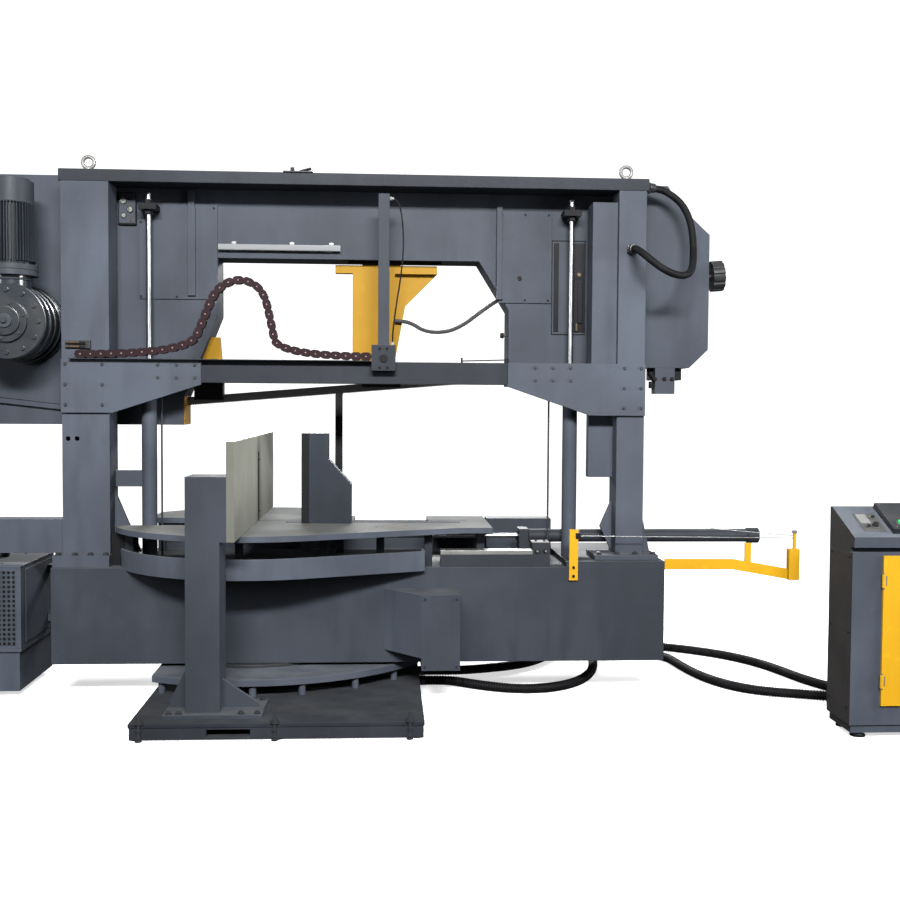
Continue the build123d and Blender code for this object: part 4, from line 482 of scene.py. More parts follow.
class Build:
    """Collects the shapes of one piece, each with its finish number."""

    def __init__(self):
        self.mesh = bmesh.new()

    def take(self, part, tone=0, place=None):
        """Adds a shape at its place; tone is its finish number, or picks one from a face."""
        if place is not None:
            bmesh.ops.transform(part, matrix=place, verts=part.verts)
        for face in part.faces:
            face.material_index = tone(face) if callable(tone) else tone
        carrier = bpy.data.meshes.new("carrier")
        part.to_mesh(carrier)
        part.free()
        self.mesh.from_mesh(carrier)
        bpy.data.meshes.remove(carrier)

    def block(self, low, high, edge, tone=0, turn=None):
        """A box with broken edges; turn is applied about the box's centre."""
        low, high = Vector(low), Vector(high)
        part = bmesh.new()
        size = high - low
        bmesh.ops.create_cube(part, size=1.0, matrix=Matrix.Diagonal((*size, 1.0)))
        if edge:
            break_edges(part, part.edges[:], min(edge, min(size) * 0.3))
        place = Matrix.Translation((low + high) / 2)
        self.take(part, tone, place @ turn if turn else place)

    def bar(self, start, end, radius, tone=0, sides=24, edge=0.001, tip=None):
        """A round or many-sided bar with broken rims; tip is the radius at its end."""
        start, end = Vector(start), Vector(end)
        length = (end - start).length
        part = bmesh.new()
        bmesh.ops.create_cone(part, cap_ends=True, segments=sides, radius1=radius,
                              radius2=radius if tip is None else tip, depth=length)
        if edge:
            rims = [e for e in part.edges if abs(e.verts[0].co.z - e.verts[1].co.z) < 1e-6]
            break_edges(part, rims, min(edge, length * 0.3, radius * 0.3))
        self.take(part, tone, Matrix.Translation((start + end) / 2) @ turned_to(end - start))

    def rod(self, start, axis, end, *shape):
        """A bar along one axis, from start to a coordinate on it."""
        far = list(start)
        far["XYZ".index(axis)] = end
        self.bar(start, far, *shape)

    def ring(self, centre, axis, radius, thickness, tone, steps, sides):
        """A round ring, its section spun about the axis."""
        part = bmesh.new()
        bmesh.ops.create_circle(part, segments=sides, radius=thickness,
                                matrix=Matrix.Translation((radius, 0, 0)) @ Matrix.Rotation(math.pi / 2, 4, "X"))
        bmesh.ops.spin(part, geom=part.verts[:] + part.edges[:], cent=(0, 0, 0), axis=UP,
                       angle=math.tau, steps=steps, use_merge=True)
        bmesh.ops.remove_doubles(part, verts=part.verts, dist=1e-6)
        bmesh.ops.recalc_face_normals(part, faces=part.faces)
        self.take(part, tone, Matrix.Translation(centre) @ turned_to(axis))

    def bolt(self, foot, axis, size, tone=0):
        """A hexagon head on a washer, standing on foot."""
        foot, axis = Vector(foot), Vector(axis).normalized()
        base = foot + axis * size * 0.12
        self.bar(foot, base, size * 0.72, tone, 20, size * 0.03)
        self.bar(base, base + axis * size * 0.42, size * 0.55, tone, 6, size * 0.05)

    def socket_screw(self, foot, axis, size, tone=0):
        """A round socket head with its recess."""
        foot, axis = Vector(foot), Vector(axis).normalized()
        part = bmesh.new()
        bmesh.ops.create_cone(part, cap_ends=True, segments=18, radius1=size * 0.5, radius2=size * 0.5,
                              depth=size * 0.5)
        top = [face for face in part.faces if face.normal.z > 0.9]
        bmesh.ops.inset_region(part, faces=top, thickness=size * 0.22)
        sink = bmesh.ops.extrude_face_region(part, geom=top)
        moved = [v for v in sink["geom"] if isinstance(v, bmesh.types.BMVert)]
        bmesh.ops.translate(part, vec=(0, 0, -size * 0.3), verts=moved)
        bmesh.ops.delete(part, geom=top, context="FACES_ONLY")
        self.take(part, tone, Matrix.Translation(foot + axis * size * 0.25) @ turned_to(axis))

    def screws(self, feet, axis, size, tone=0):
        for foot in feet:
            self.socket_screw(foot, axis, size, tone)

    def cad(self, node, edge, tones, levels):
        """A merged copy of a CAD node with broken edges, its faces parted at the levels' heights."""
        part = bmesh.new()
        part.from_mesh(frame["nodes"][node].data)
        bmesh.ops.remove_doubles(part, verts=part.verts, dist=2e-6)
        bmesh.ops.dissolve_limit(part, angle_limit=FLAT_ANGLE, verts=part.verts, edges=part.edges,
                                 use_dissolve_boundaries=False)
        if edge:
            sharp = [e for e in part.edges if e.is_manifold and e.calc_face_angle(0.0) > SHARP_ANGLE]
            break_edges(part, sharp, edge, True)
        for level in levels:
            bmesh.ops.bisect_plane(part, geom=part.verts[:] + part.edges[:] + part.faces[:], dist=1e-5,
                                   plane_co=(0, 0, level), plane_no=UP)
        part.normal_update()
        self.take(part, tones or 0)

    def piece(self, name, body, finishes, slot=None, replaced=(), crease=28.0):
        """Turns the shapes into an object on a body."""
        mesh = bpy.data.meshes.new(name)
        self.mesh.to_mesh(mesh)
        self.mesh.free()
        for label in finishes:
            mesh.materials.append(finish(label))
        mesh.polygons.foreach_set("use_smooth", [True] * len(mesh.polygons))
        mesh.set_sharp_from_angle(angle=math.radians(crease))
        made = bpy.data.objects.new(name, mesh)
        bpy.context.scene.collection.objects.link(made)
        even = made.modifiers.new("even_shading", "WEIGHTED_NORMAL")
        even.mode = "FACE_AREA"
        even.keep_sharp = True
        if body:
            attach(made, body)
        for node in replaced:
            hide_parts(node)
        return made


def dress(node, *finishes, edge=None, tones=None, levels=()):
    """Replaces a CAD node by its softened copy; tones picks a finish number from a face."""
    build = Build()
    build.cad(node, sizes().edge if edge is None else edge, tones, levels)
    build.piece(node + "_dressed", BODIES[node], finishes, SLOTS[node], [node])


def centre(face):
    return face.calc_center_median()


def over(height):
    """Picks the second finish for faces above a height."""
    return lambda face: int(centre(face).z > height)


def under(height):
    """Picks the second finish for faces below a height."""
    return lambda face: int(centre(face).z < height)


def outside(low, high):
    """Picks the second finish for faces below one height or above another."""
    return lambda face: int(not low <= centre(face).z <= high)


def around(count, start=0.0):
    """Cosines and sines of evenly spaced turns."""
    turns = [start + math.tau * k / count for k in range(count)]
    return [(math.cos(turn), math.sin(turn)) for turn in turns]


def spline(name, points):
    """A NURBS curve with the route's points as its control points."""
    curve = bpy.data.curves.new(name, "CURVE")
    curve.dimensions = "3D"
    curve.resolution_u = 10
    line = curve.splines.new("NURBS")
    line.points.add(len(points) - 1)
    for point, place in zip(line.points, points):
        point.co = (*place, 1.0)
    line.order_u = 3
    line.use_endpoint_u = True
    return curve


def followed(name, points):
    """Points read from the route's NURBS spline."""
    carrier = bpy.data.objects.new(name + "_line", spline(name + "_line", points))
    bpy.context.scene.collection.objects.link(carrier)
    bpy.context.view_layer.update()
    mesh = bpy.data.meshes.new_from_object(carrier.evaluated_get(bpy.context.evaluated_depsgraph_get()))
    line = [v.co.copy() for v in mesh.vertices]
    bpy.data.objects.remove(carrier)
    bpy.data.meshes.remove(mesh)
    return line


def along(line, distance):
    """Place and direction at a distance along the line."""
    for first, second in zip(line, line[1:]):
        step = (second - first).length
        if distance <= step and step > 0:
            return first.lerp(second, distance / step), (second - first).normalized()
        distance -= step
    return line[-1].copy(), (line[-1] - line[-2]).normalized()


def line_length(line):
    return sum((b - a).length for a, b in zip(line, line[1:]))


def ribbed_tube(name, points, radius, rib, density, sides):
    """A ribbed tube drawn along its NURBS spline, one ring after another."""
    line = followed(name, points)
    length = line_length(line)
    ribs = round(length * density)
    profile = ((0.0, radius - rib), (0.18, radius), (0.62, radius), (0.80, radius - rib))
    stations = [((k + share) / ribs * length, size) for k in range(ribs) for share, size in profile]
    stations.append((length, radius - rib))
    tube = bmesh.new()
    place, heading = along(line, 0.0)
    turn = turned_to(heading)
    before = Matrix.Translation(place) @ turn @ Matrix.Scale(stations[0][1], 4)
    bmesh.ops.create_circle(tube, cap_ends=True, segments=sides, radius=1.0, matrix=before)
    ring = tube.edges[:]
    for distance, size in stations[1:]:
        place, ahead = along(line, distance)
        turn = heading.rotation_difference(ahead).to_matrix().to_4x4() @ turn
        heading = ahead
        now = Matrix.Translation(place) @ turn @ Matrix.Scale(size, 4)
        grown = bmesh.ops.extrude_edge_only(tube, edges=ring)["geom"]
        fresh = {g for g in grown if isinstance(g, bmesh.types.BMVert)}
        ring = [g for g in grown if isinstance(g, bmesh.types.BMEdge) and fresh.issuperset(g.verts)]
        bmesh.ops.transform(tube, matrix=now @ before.inverted(), verts=list(fresh))
        before = now
    bmesh.ops.holes_fill(tube, edges=ring, sides=sides + 1)
    bmesh.ops.recalc_face_normals(tube, faces=tube.faces)
    build = Build()
    build.take(tube)
    return build, line, length


def lay_cord(node, piece, body, points, radius, rib, density, sides,
             label="black_rubber", crease=50.0):
    """A ribbed cord in place of its CAD node; a cord between two bodies goes on no body and keeps its shape where it
    lies.
    """
    build, line, length = ribbed_tube(node, points, radius, rib, density, sides)
    blended = isinstance(body, tuple)
    made = build.piece(piece, None if blended else body, [label], "black_rubber", [node], crease)
    if blended:
        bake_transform(made)
    return line


# Stage

def portrait_camera():
    camera = bpy.data.cameras.new("portrait_camera")
    camera.sensor_fit = "HORIZONTAL"
    camera.sensor_width = SENSOR
    camera.lens = LENS
    camera.clip_end = 100.0
    ahead = Vector((math.sin(YAW) * math.cos(PITCH), math.cos(YAW) * math.cos(PITCH), -math.sin(PITCH)))
    level = Vector((math.cos(YAW), -math.sin(YAW), 0.0))
    upright = level.cross(ahead)
    across = math.cos(ROLL) * level + math.sin(ROLL) * upright
    up = math.cos(ROLL) * upright - math.sin(ROLL) * level
    holder = bpy.data.objects.new("portrait_camera", camera)
    pose = Matrix((across, up, -ahead)).transposed().to_4x4()
    pose.translation = EYE
    holder.matrix_world = pose
    bpy.context.scene.collection.objects.link(holder)
    bpy.context.scene.camera = holder


# Each light's place, aim, size, power and spread in degrees.
LIGHTS = {
    "key": ((0.9, -8.5, 5.6), (0.9, 0.0, 2.2), (5.0, 0.8), 780.0, 90.0),
    "right": ((8.0, -3.0, 2.6), (0.4, -0.3, 0.9), (2.5, 2.5), 150.0, 90.0),
    "left": ((-6.5, -2.6, 2.6), (1.2, -0.4, 0.9), (2.5, 2.5), 90.0, 90.0),
    "top": ((0.8, 0.6, 5.8), (0.8, 0.4, 0.0), (5.0, 2.0), 70.0, 180.0),
    "back": ((0.8, 7.5, 4.4), (0.8, 0.0, 1.6), (5.0, 1.5), 320.0, 90.0),
}
STUDIO_X = 0.8
WALL_RADIUS, WALL_HEIGHT, WALL_MIDDLE = 25.0, 17.0, 8.0
FLOOR_REACH, FLOOR_LEVEL = 26.0, -0.0006
SHADOW_X, SHADOW_WIDTH, SHADOW_DEPTH = 0.9, 2.8, 1.4


def soft_light(name, place, aim, size, power, spread):
    light = bpy.data.lights.new(name, "AREA")
    light.shape = "RECTANGLE"
    light.size, light.size_y = size
    light.energy = power
    light.spread = math.radians(spread)
    holder = bpy.data.objects.new(name, light)
    holder.location = place
    holder.rotation_euler = (Vector(aim) - Vector(place)).to_track_quat("-Z", "Y").to_euler()
    bpy.context.scene.collection.objects.link(holder)


def paper(name, part, near, shadow):
    """White studio paper that glows, less so near the saw where its shadows fall."""
    build = Build()
    build.take(part)
    sheet = build.piece(name, None, [])
    f = Finish(name + "_white")
    fibre = f.noise(3.0, 3.0)
    tone = f.mix(fibre, (0.88, 0.88, 0.88), (0.91, 0.91, 0.91))
    across, deep = (f.axis("X") - SHADOW_X) * (1 / SHADOW_WIDTH), f.axis("Y") * (1 / SHADOW_DEPTH)
    glow = f.mix((across * across + deep * deep).rise(0.8, 3.4), (near, near, near), (1.0, 1.0, 1.0))
    sheet.data.materials.append(f.done(Base_Color=tone, Roughness=0.95, Specular_IOR_Level=0.0,
                                       Emission_Color=glow, Emission_Strength=1.0))
    sheet.visible_diffuse = False
    sheet.visible_glossy = False
    sheet.visible_shadow = shadow


class SAW_OT_stage(bpy.types.Operator):
    """Makes the camera, the floor and the studio light"""
    bl_idname = "saw.stage"
    bl_label = "Studio Stage"

    def execute(self, context):
        portrait_camera()
        floor = bmesh.new()
        bmesh.ops.create_grid(floor, x_segments=1, y_segments=1, size=FLOOR_REACH,
                              matrix=Matrix.Translation((STUDIO_X, 0.0, FLOOR_LEVEL)))
        paper("studio_floor", floor, 0.62, True)
        wall = bmesh.new()
        bmesh.ops.create_cone(wall, cap_ends=False, segments=64, radius1=WALL_RADIUS, radius2=WALL_RADIUS,
                              depth=WALL_HEIGHT, matrix=Matrix.Translation((STUDIO_X, 0.0, WALL_MIDDLE)))
        paper("studio_backdrop", wall, 1.0, False)
        world = bpy.data.worlds.new("studio")
        world.use_nodes = True
        sky = world.node_tree.nodes["Background"]
        sky.inputs["Color"].default_value = (0.96, 0.98, 1.0, 1.0)
        sky.inputs["Strength"].default_value = 0.13
        context.scene.world = world
        context.scene.view_settings.view_transform = "Standard"
        for name, setting in LIGHTS.items():
            soft_light(name, *setting)
        return {"FINISHED"}


# Cords and chain

class SAW_OT_floor_conduits(bpy.types.Operator):
    """Lays the two ribbed conduits between the base and the console"""
    bl_idname = "saw.floor_conduits"
    bl_label = "Floor Conduits"

    def execute(self, context):
        for node, route, end in (("conduit_front", FRONT_ROUTE, FRONT_END), ("conduit_rear", REAR_ROUTE, REAR_END)):
            spots = [(*point, FLOOR_RUN)[:3] for point in route]
            points = [(CONDUIT_START + share * (end - CONDUIT_START), y, z) for share, y, z in spots]
            lay_cord(node, node + "_ribbed", "base", points, 0.025, 0.003, sizes().conduit_ribs, 14)
        return {"FINISHED"}


class SAW_OT_column_loop(bpy.types.Operator):
    """Hangs the conduit loop on the right column"""
    bl_idname = "saw.column_loop"
    bl_label = "Column Loop"

    def execute(self, context):
        points = [(LOOP_START + x, y, z) for x, y, z in LOOP_ROUTE]
        line = lay_cord("column_conduit", "column_conduit_ribbed", "swivel", points, 0.018, 0.0012, 160, 18)
        glands = Build()
        for spot, away in ((line[0], Vector(RIGHT)), (line[-1], Vector(FRONT))):
            nut = spot + away * 0.022
            glands.bar(spot, nut, 0.030, 0, 6, 0.002)
            glands.bar(nut, spot + away * 0.050, 0.026, 0, 24, 0.004, 0.022)
        glands.piece("column_conduit_glands", "swivel", ["black_plastic"], "black_plastic")
        return {"FINISHED"}


class SAW_OT_guide_hose(bpy.types.Operator):
    """Runs the ribbed hose from the moving guide to the bow"""
    bl_idname = "saw.guide_hose"
    bl_label = "Guide Hose"

    def execute(self, context):
        points = [(HOSE_START + share * (HOSE_END - HOSE_START), y, z) for share, y, z in HOSE_ROUTE]
        lay_cord("guide_hose", "guide_hose_ribbed", ("guide", "bow"), points, 0.011, 0.002, sizes().hose_ribs, 12,
                 "hose_rubber")
        return {"FINISHED"}


class SAW_OT_trip_wires(bpy.types.Operator):
    """Stretches the two trip wires to the yellow arm"""
    bl_idname = "saw.trip_wires"
    bl_label = "Trip Wires"

    def execute(self, context):
        for number, (start, end) in enumerate(TRIP_WIRES, 1):
            middle = tuple((a + b) / 2 for a, b in zip(start, end))
            curve = spline("trip_wire_%d" % number, [start, middle, end])
            curve.bevel_depth = 0.002
            curve.bevel_resolution = 3
            curve.use_fill_caps = True
            curve.materials.append(finish("wire_steel"))
            wire = bpy.data.objects.new("trip_wire_%d" % number, curve)
            context.scene.collection.objects.link(wire)
            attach(wire, "swivel")
            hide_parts("trip_wires")
        return {"FINISHED"}


class SAW_OT_switch_cable(bpy.types.Operator):
    """Hangs the cable of the height switch beside its post"""
    bl_idname = "saw.switch_cable"
    bl_label = "Switch Cable"

    def execute(self, context):
        line = lay_cord("switch_cable", "switch_cable_hung", "swivel", CABLE_ROUTE, 0.004, 0.0003, 240, 10,
                        crease=60.0)
        nut = line[0] + Vector((0.012, 0, 0))
        fittings = Build()
        fittings.bar(line[0], nut, 0.009, 0, 6)
        fittings.bar(nut, line[0] + Vector((0.022, 0, -0.001)), 0.007, 0, 16, 0.001, 0.005)
        fittings.bar(line[-1], line[-1] + Vector((0, 0, 0.016)), 0.008, 0, 6)
        fittings.piece("switch_cable_glands", "swivel", ["grey_plastic"], "black_plastic")
        return {"FINISHED"}


LINK_HEIGHT, LINK_PLATE, LINK_CORNER = 0.0395, 0.0045, 0.016
LINK_OUTER, LINK_INNER = 0.0182, 0.0172


def chain_link(build, place, ahead, pitch, odd):
    """One link: two round-ended side plates, two cross bars and the pin ends."""
    side = Vector(BACK)
    up = side.cross(ahead).normalized()
    put = Matrix.Translation(place) @ Matrix((ahead, side, up)).transposed().to_4x4()
    inward = LINK_OUTER if odd else LINK_INNER
    for flank in (-1, 1):
        plate = bmesh.new()
        bmesh.ops.create_cube(plate, size=1.0, matrix=Matrix.Diagonal((pitch * 1.10, LINK_PLATE, LINK_HEIGHT, 1.0)))
        across = [e for e in plate.edges if abs((e.verts[0].co - e.verts[1].co).normalized().y) > 0.9]
        break_edges(plate, across, LINK_CORNER)
        build.take(plate, 0, put @ Matrix.Translation((0, flank * inward, 0)))
        pin = bmesh.new()
        bmesh.ops.create_cone(pin, cap_ends=True, segments=8, radius1=0.0042, radius2=0.0036, depth=0.003)
        turn = Matrix.Rotation(-flank * math.pi / 2, 4, "X")
        outward = Matrix.Translation((0, flank * (inward + 0.0027), 0)) @ turn
        build.take(pin, 1, put @ outward)
    for lift in (-0.0170, 0.0170):
        cross = bmesh.new()
        bmesh.ops.create_cube(cross, size=1.0, matrix=Matrix.Diagonal((pitch * 0.62, 0.034, 0.004, 1.0)))
        build.take(cross, 0, put @ Matrix.Translation((0, 0, lift)))


class SAW_OT_energy_chain(bpy.types.Operator):
    """Lays the energy chain along its tray and arch"""
    bl_idname = "saw.energy_chain"
    bl_label = "Energy Chain"

    def execute(self, context):
        line = followed("energy_chain", [(x, CHAIN_Y, z) for x, z in CHAIN_ROUTE])
        length = line_length(line)
        count = round(length / sizes().link_pitch)
        pitch = length / count
        build = Build()
        for k in range(count):
            place, ahead = along(line, (k + 0.5) * pitch)
            chain_link(build, place, ahead, pitch, k % 2)
        build.piece("energy_chain_links", "swivel", ["chain_plastic", "chain_pin"], "chain_plastic",
                    ["energy_chain"], 40.0)
        return {"FINISHED"}


# Base and fences

PLATE_TOP = 0.076
STUD_Y = -1.066
# Foot, thread, two nuts and top nut of a levelling stud: low, high, radius, sides and edge.
STUD = [(0.0, 0.010, 0.015, 16, 0.002), (0.008, 0.122, 0.0065, 12, 0.001), (0.012, 0.024, 0.012, 6, 0.001),
        (0.044, 0.056, 0.012, 6, 0.001), (PLATE_TOP + 0.005, PLATE_TOP + 0.020, 0.014, 6, 0.001)]


class SAW_OT_base(bpy.types.Operator):
    """Dresses the base frame, track and fences"""
    bl_idname = "saw.base"
    bl_label = "Base and Fences"

    def execute(self, context):
        dress("base_frame", "deep_paint", edge=0.003)
        dress("levelling_feet", "bolt_steel", edge=0.001)
        dress("base_plate", "shadow_paint")
        dress("track_posts", "dark_paint")
        dress("track_plate", "dark_paint")
        # Painted light: faces turned to the right take the full housing paint, the rest its darker copy as painted
        # shade.
        dress("fence_pillars", "beam_paint", "dark_paint", edge=0.003, tones=lambda face: int(face.normal.x > 0.5))
        dress("fence_plates", "fence_steel", "fence_edge", edge=0.0015,
              tones=lambda face: int(face.normal.y < -0.5))
        dress("conduit_glands", "black_plastic", edge=0.0015)
        fixings = Build()
        for x in (-0.397, 0.187, 0.775):
            for low, high, radius, sides, edge in STUD:
                fixings.rod((x, STUD_Y, low), "Z", high, radius, 0, sides, edge)
            fixings.rod((x, STUD_Y + 0.010, PLATE_TOP), "Z", PLATE_TOP + 0.005, 0.022, 0, 20)
            fixings.bolt((x, 0.960, PLATE_TOP), UP, 0.026)
        for y in (-0.972, -0.738, 0.738, 0.972):
            for x in (-0.288, -0.242, 0.030, 0.102):
                fixings.bolt((x, y, PLATE_TOP + 0.018), UP, 0.022)
        # A black sheet on the floor in the fork opening: painted shade under the base.
        fixings.block((-0.160, -0.995, 0.0003), (0.140, -0.790, 0.0032), 0.0005, 1)
        fixings.piece("base_fixings", "base", ["bolt_steel", "black_rubber"], "bolt_steel")
        slot = Build()
        for side in (-1, 1):
            near, far = sorted((side * 0.0062, side * 0.026))
            slot.block((-0.004, near, 0.853), (0.0008, far, 1.212), 0.0004)
            slot.screws([(0.0008, side * 0.017, z) for z in (0.90, 1.17)], RIGHT, 0.007)
        slot.piece("fence_slot_edges", "base", ["black_steel"], "bolt_steel")
        return {"FINISHED"}


# Swivelling gate

BEAM_TOP = 0.655
CYLINDER_Y = -0.165
COLUMN_FEET = (-0.943, -0.862, -0.786, -0.712, 1.742, 1.836, 1.930, 2.020)
FOOT_TOP = 0.7113
SWITCH_X, SWITCH_FACE = 0.6525, -0.360


def tray_painted_shade(face):
    """Painted shade: the tray's inner walls, which face the axis, take the second, darker finish."""
    spot = centre(face)
    return int(face.normal.x * spot.x + face.normal.y * spot.y < -0.05)


class SAW_OT_gate(bpy.types.Operator):
    """Dresses the swivelling gate, its beam, table and columns"""
    bl_idname = "saw.gate"
    bl_label = "Swivelling Gate"

    def execute(self, context):
        dress("slew_ring", "bolt_steel")
        # The main beam takes the housing paint darkened, as painted shade.
        dress("main_beam", "beam_paint", edge=0.003)
        # Painted light: faces turned to the left take the full housing paint, the rest its darker copy as painted
        # shade.
        dress("drive_housing", "beam_paint", "dark_paint", tones=lambda face: int(face.normal.x < -0.3))
        # The tray's inner walls take the darker jaw paint as painted shade.
        dress("chip_tray", "dark_paint", "jaw_paint", tones=tray_painted_shade)
        dress("table_plate", "table_steel", "dark_paint", edge=0.0015,
              tones=lambda face: int(abs(face.normal.z) <= 0.5))
        dress("table_posts", "shadow_paint", "black_steel", tones=over(0.9))
        dress("left_column", "dark_paint", edge=0.004)
        dress("right_column", "dark_paint", edge=0.004)
        dress("top_beam", "shadow_paint", edge=0.004)
        dress("gate_bolts", "bolt_steel", "zinc_steel", edge=0.0008, tones=over(2.5))
        dress("cross_member", "shadow_paint")
        dress("cross_plates", "dark_paint")
        dress("guide_rails", "rail_steel", edge=0.0015)
        dress("lift_barrels", "dark_paint")
        dress("switch_post", "beam_paint", "shadow_paint", tones=under(1.755), levels=(1.755,))
        self.fixings()
        self.limit_rods()
        self.chain_plugs()
        return {"FINISHED"}

    def fixings(self):
        """Foot bolts, cylinder caps, the switch's clamp screws and the top beam's latch."""
        build = Build()
        for x in COLUMN_FEET:
            build.bolt((x, -0.327, FOOT_TOP), UP, 0.024)
        build.screws([(x, -0.590, z) for x in (0.856, 1.010) for z in (0.205, 0.532)], FRONT, 0.012)
        for x in (-0.530, 1.58237):
            build.rod((x, CYLINDER_Y, 1.560), "Z", 1.598, 0.042, 0, 32, 0.003)
            build.ring((x, CYLINDER_Y, 1.600), UP, 0.021, 0.004, 1, 24, 8)
        build.screws([(x, SWITCH_FACE, z) for x in (0.634, 0.670) for z in (1.645, 1.738)], FRONT, 0.013, 1)
        build.rod((SWITCH_X, -0.366, 1.690), "Y", SWITCH_FACE, 0.020, 1, 24, 0.002)
        # A thin black sheet between beam and table at the left end: painted shade, standing in for the dark seen
        # there.
        build.block((-0.692, -0.2890, 0.6553), (-0.560, -0.2855, 0.8220), 0.001, 1)
        build.block((0.154, -0.310, 2.6050), (0.301, -0.270, 2.6110), 0.001)
        build.rod((0.200, -0.290, 2.610), "Z", 2.630, 0.012, 0, 6)
        build.bar((0.236, -0.290, 2.611), (0.292, -0.290, 2.626), 0.007, 1, 12)
        build.piece("gate_fixings", "swivel", ["bolt_steel", "black_steel"], "bolt_steel")

    def limit_rods(self):
        """The rods beside the lift cylinders and the small rod on the cross tube."""
        build = Build()
        for x in (-0.468, 1.505):
            build.rod((x, CYLINDER_Y, BEAM_TOP), "Z", 1.640, 0.005, 0, 12)
            build.block((x - 0.012, -0.2101, 1.600), (x + 0.012, -0.152, 1.622), 0.002, 1)
            build.rod((x, CYLINDER_Y, 1.622), "Z", 1.632, 0.010, 1, 6)
            build.rod((x, CYLINDER_Y, BEAM_TOP), "Z", 0.675, 0.012, 1, 6)
        build.bar((1.045, -0.285, 1.6835), (1.272, -0.285, 1.6905), 0.0035, 0, 10, 0.0005)
        build.rod((1.045, -0.285, 1.675), "Z", 1.700, 0.005, 1, 10)
        build.block((1.262, -0.292, 1.6749), (1.284, -0.278, 1.698), 0.002, 1)
        build.piece("limit_rods", "swivel", ["bolt_steel", "black_steel"], "bolt_steel")

    def chain_plugs(self):
        """Two round plugs at the start of the energy chain."""
        build = Build()
        for z in (1.737, 1.758):
            build.rod((-0.905, -0.309, z), "X", -0.838, 0.0075, 1, 14, 0.002)
            build.rod((-0.838, -0.309, z), "X", -0.806, 0.0095, 0, 6)
            for x in (-0.888, -0.852):
                build.ring((x, -0.309, z), RIGHT, 0.0078, 0.0014, 0, 16, 6)
        build.block((-0.808, -0.318, 1.727), (-0.782, -0.2999, 1.769), 0.003)
        build.piece("chain_plugs", "swivel", ["black_plastic", "brass"], "black_plastic")


# Vice, trip arm and power pack

VICE_Y, VICE_Z = -0.092, 0.7803
ROD_REACH = 0.016
JAW_PLATE_END = 0.276
CABINET_TOP = 0.655


def vice_tone(face):
    """Chrome rod, black jaw plate and painted body."""
    spot = centre(face)
    if abs(spot.y - VICE_Y) < ROD_REACH and abs(spot.z - VICE_Z) < ROD_REACH:
        return 1
    return 2 if spot.x < JAW_PLATE_END else 0


class SAW_OT_vice(bpy.types.Operator):
    """Dresses the vice, its cylinder, the trip arm and the power pack"""
    bl_idname = "saw.vice"
    bl_label = "Vice and Trip Arm"

    def execute(self, context):
        dress("vice_rail", "deep_paint", "machined_steel", edge=0.0015,
              tones=lambda face: int(centre(face).x < 1.4 and centre(face).z > 0.717))
        dress("vice_cylinder", "deep_paint")
        dress("trip_brackets", "yellow_paint")
        dress("moving_jaw", "jaw_paint", "hard_chrome", "black_steel", tones=vice_tone)
        dress("hydraulic_cabinet", "dark_paint", edge=0.0)
        self.fixings()
        self.power_pack()
        return {"FINISHED"}

    def fixings(self):
        """Cylinder screws, valve fittings and the wires' clamp and pin."""
        build = Build()
        for across, up in around(4, math.pi / 4):
            build.socket_screw((2.64037, VICE_Y + 0.026 * across, VICE_Z + 0.026 * up), RIGHT, 0.011)
            build.bolt((1.36037, VICE_Y + 0.0442 * across, VICE_Z + 0.0312 * up), LEFT, 0.014)
        build.ring((1.4085, VICE_Y, VICE_Z), RIGHT, 0.036, 0.006, 0, 32, 8)
        for x in (1.424, 1.466):
            build.rod((x, -0.370, 0.735), "Y", -0.380, 0.011, 0, 6)
            build.rod((x, -0.380, 0.735), "Y", -0.386, 0.006, 1, 12)
            build.socket_screw((x, -0.316, 0.7773), UP, 0.012)
        build.block((1.613, -0.4005, 0.798), (1.640, -0.379, 0.828), 0.003)
        build.rod((1.6265, -0.390, 0.826), "Z", 0.842, 0.006, 1, 6)
        build.screws([(1.604, -0.396, z) for z in (0.612, 0.655)], FRONT, 0.014)
        build.rod((2.73537, -0.376, 0.824), "Z", 0.838, 0.0125, 1, 6)
        build.piece("vice_fixings", "swivel", ["black_steel", "zinc_steel"], "bolt_steel")

    def power_pack(self):
        """Punched front, lid, side panel and filler cap of the hydraulic cabinet."""
        build = Build()
        build.block((-1.515, -0.3135, 0.262), (-1.158, -0.3098, 0.634), 0.001, 1)
        build.block((-1.522, -0.3125, 0.646), (-1.128, 0.247, CABINET_TOP), 0.003)
        build.block((-1.1300, -0.240, 0.262), (-1.1265, 0.190, 0.630), 0.001)
        build.screws([(x, -0.310, z) for x in (-1.146, -1.518) for z in (0.250, 0.640)], FRONT, 0.008)
        build.screws([(x, y, CABINET_TOP) for x in (-1.40, -1.25) for y in (-0.22, 0.16)], UP, 0.010)
        build.rod((-1.33, 0.05, CABINET_TOP), "Z", 0.674, 0.030, 2, 28, 0.004)
        build.rod((-1.33, 0.05, 0.674), "Z", 0.684, 0.034, 2, 28, 0.003)
        build.piece("power_pack_panels", "swivel", ["dark_paint", "punched_sheet", "black_plastic"], "dark_paint")


# Saw bow

DRIVE_X, DRIVE_Z = -1.150, 1.8513
MOTOR_Y, MOTOR_LOW, MOTOR_HIGH = -0.330, 2.1013, 2.5403
GEAR_FACE = -0.437
BOW_FACE = -0.100
BOW_SKIN = BOW_FACE + 0.0005
COVER_FACE = -0.108
BOW_REAR = 0.108
DOOR_REAR = 0.1105
CANT = math.radians(4.8)
LEDGE_SLOPE = Matrix.Rotation(math.radians(6.2), 4, "Y")


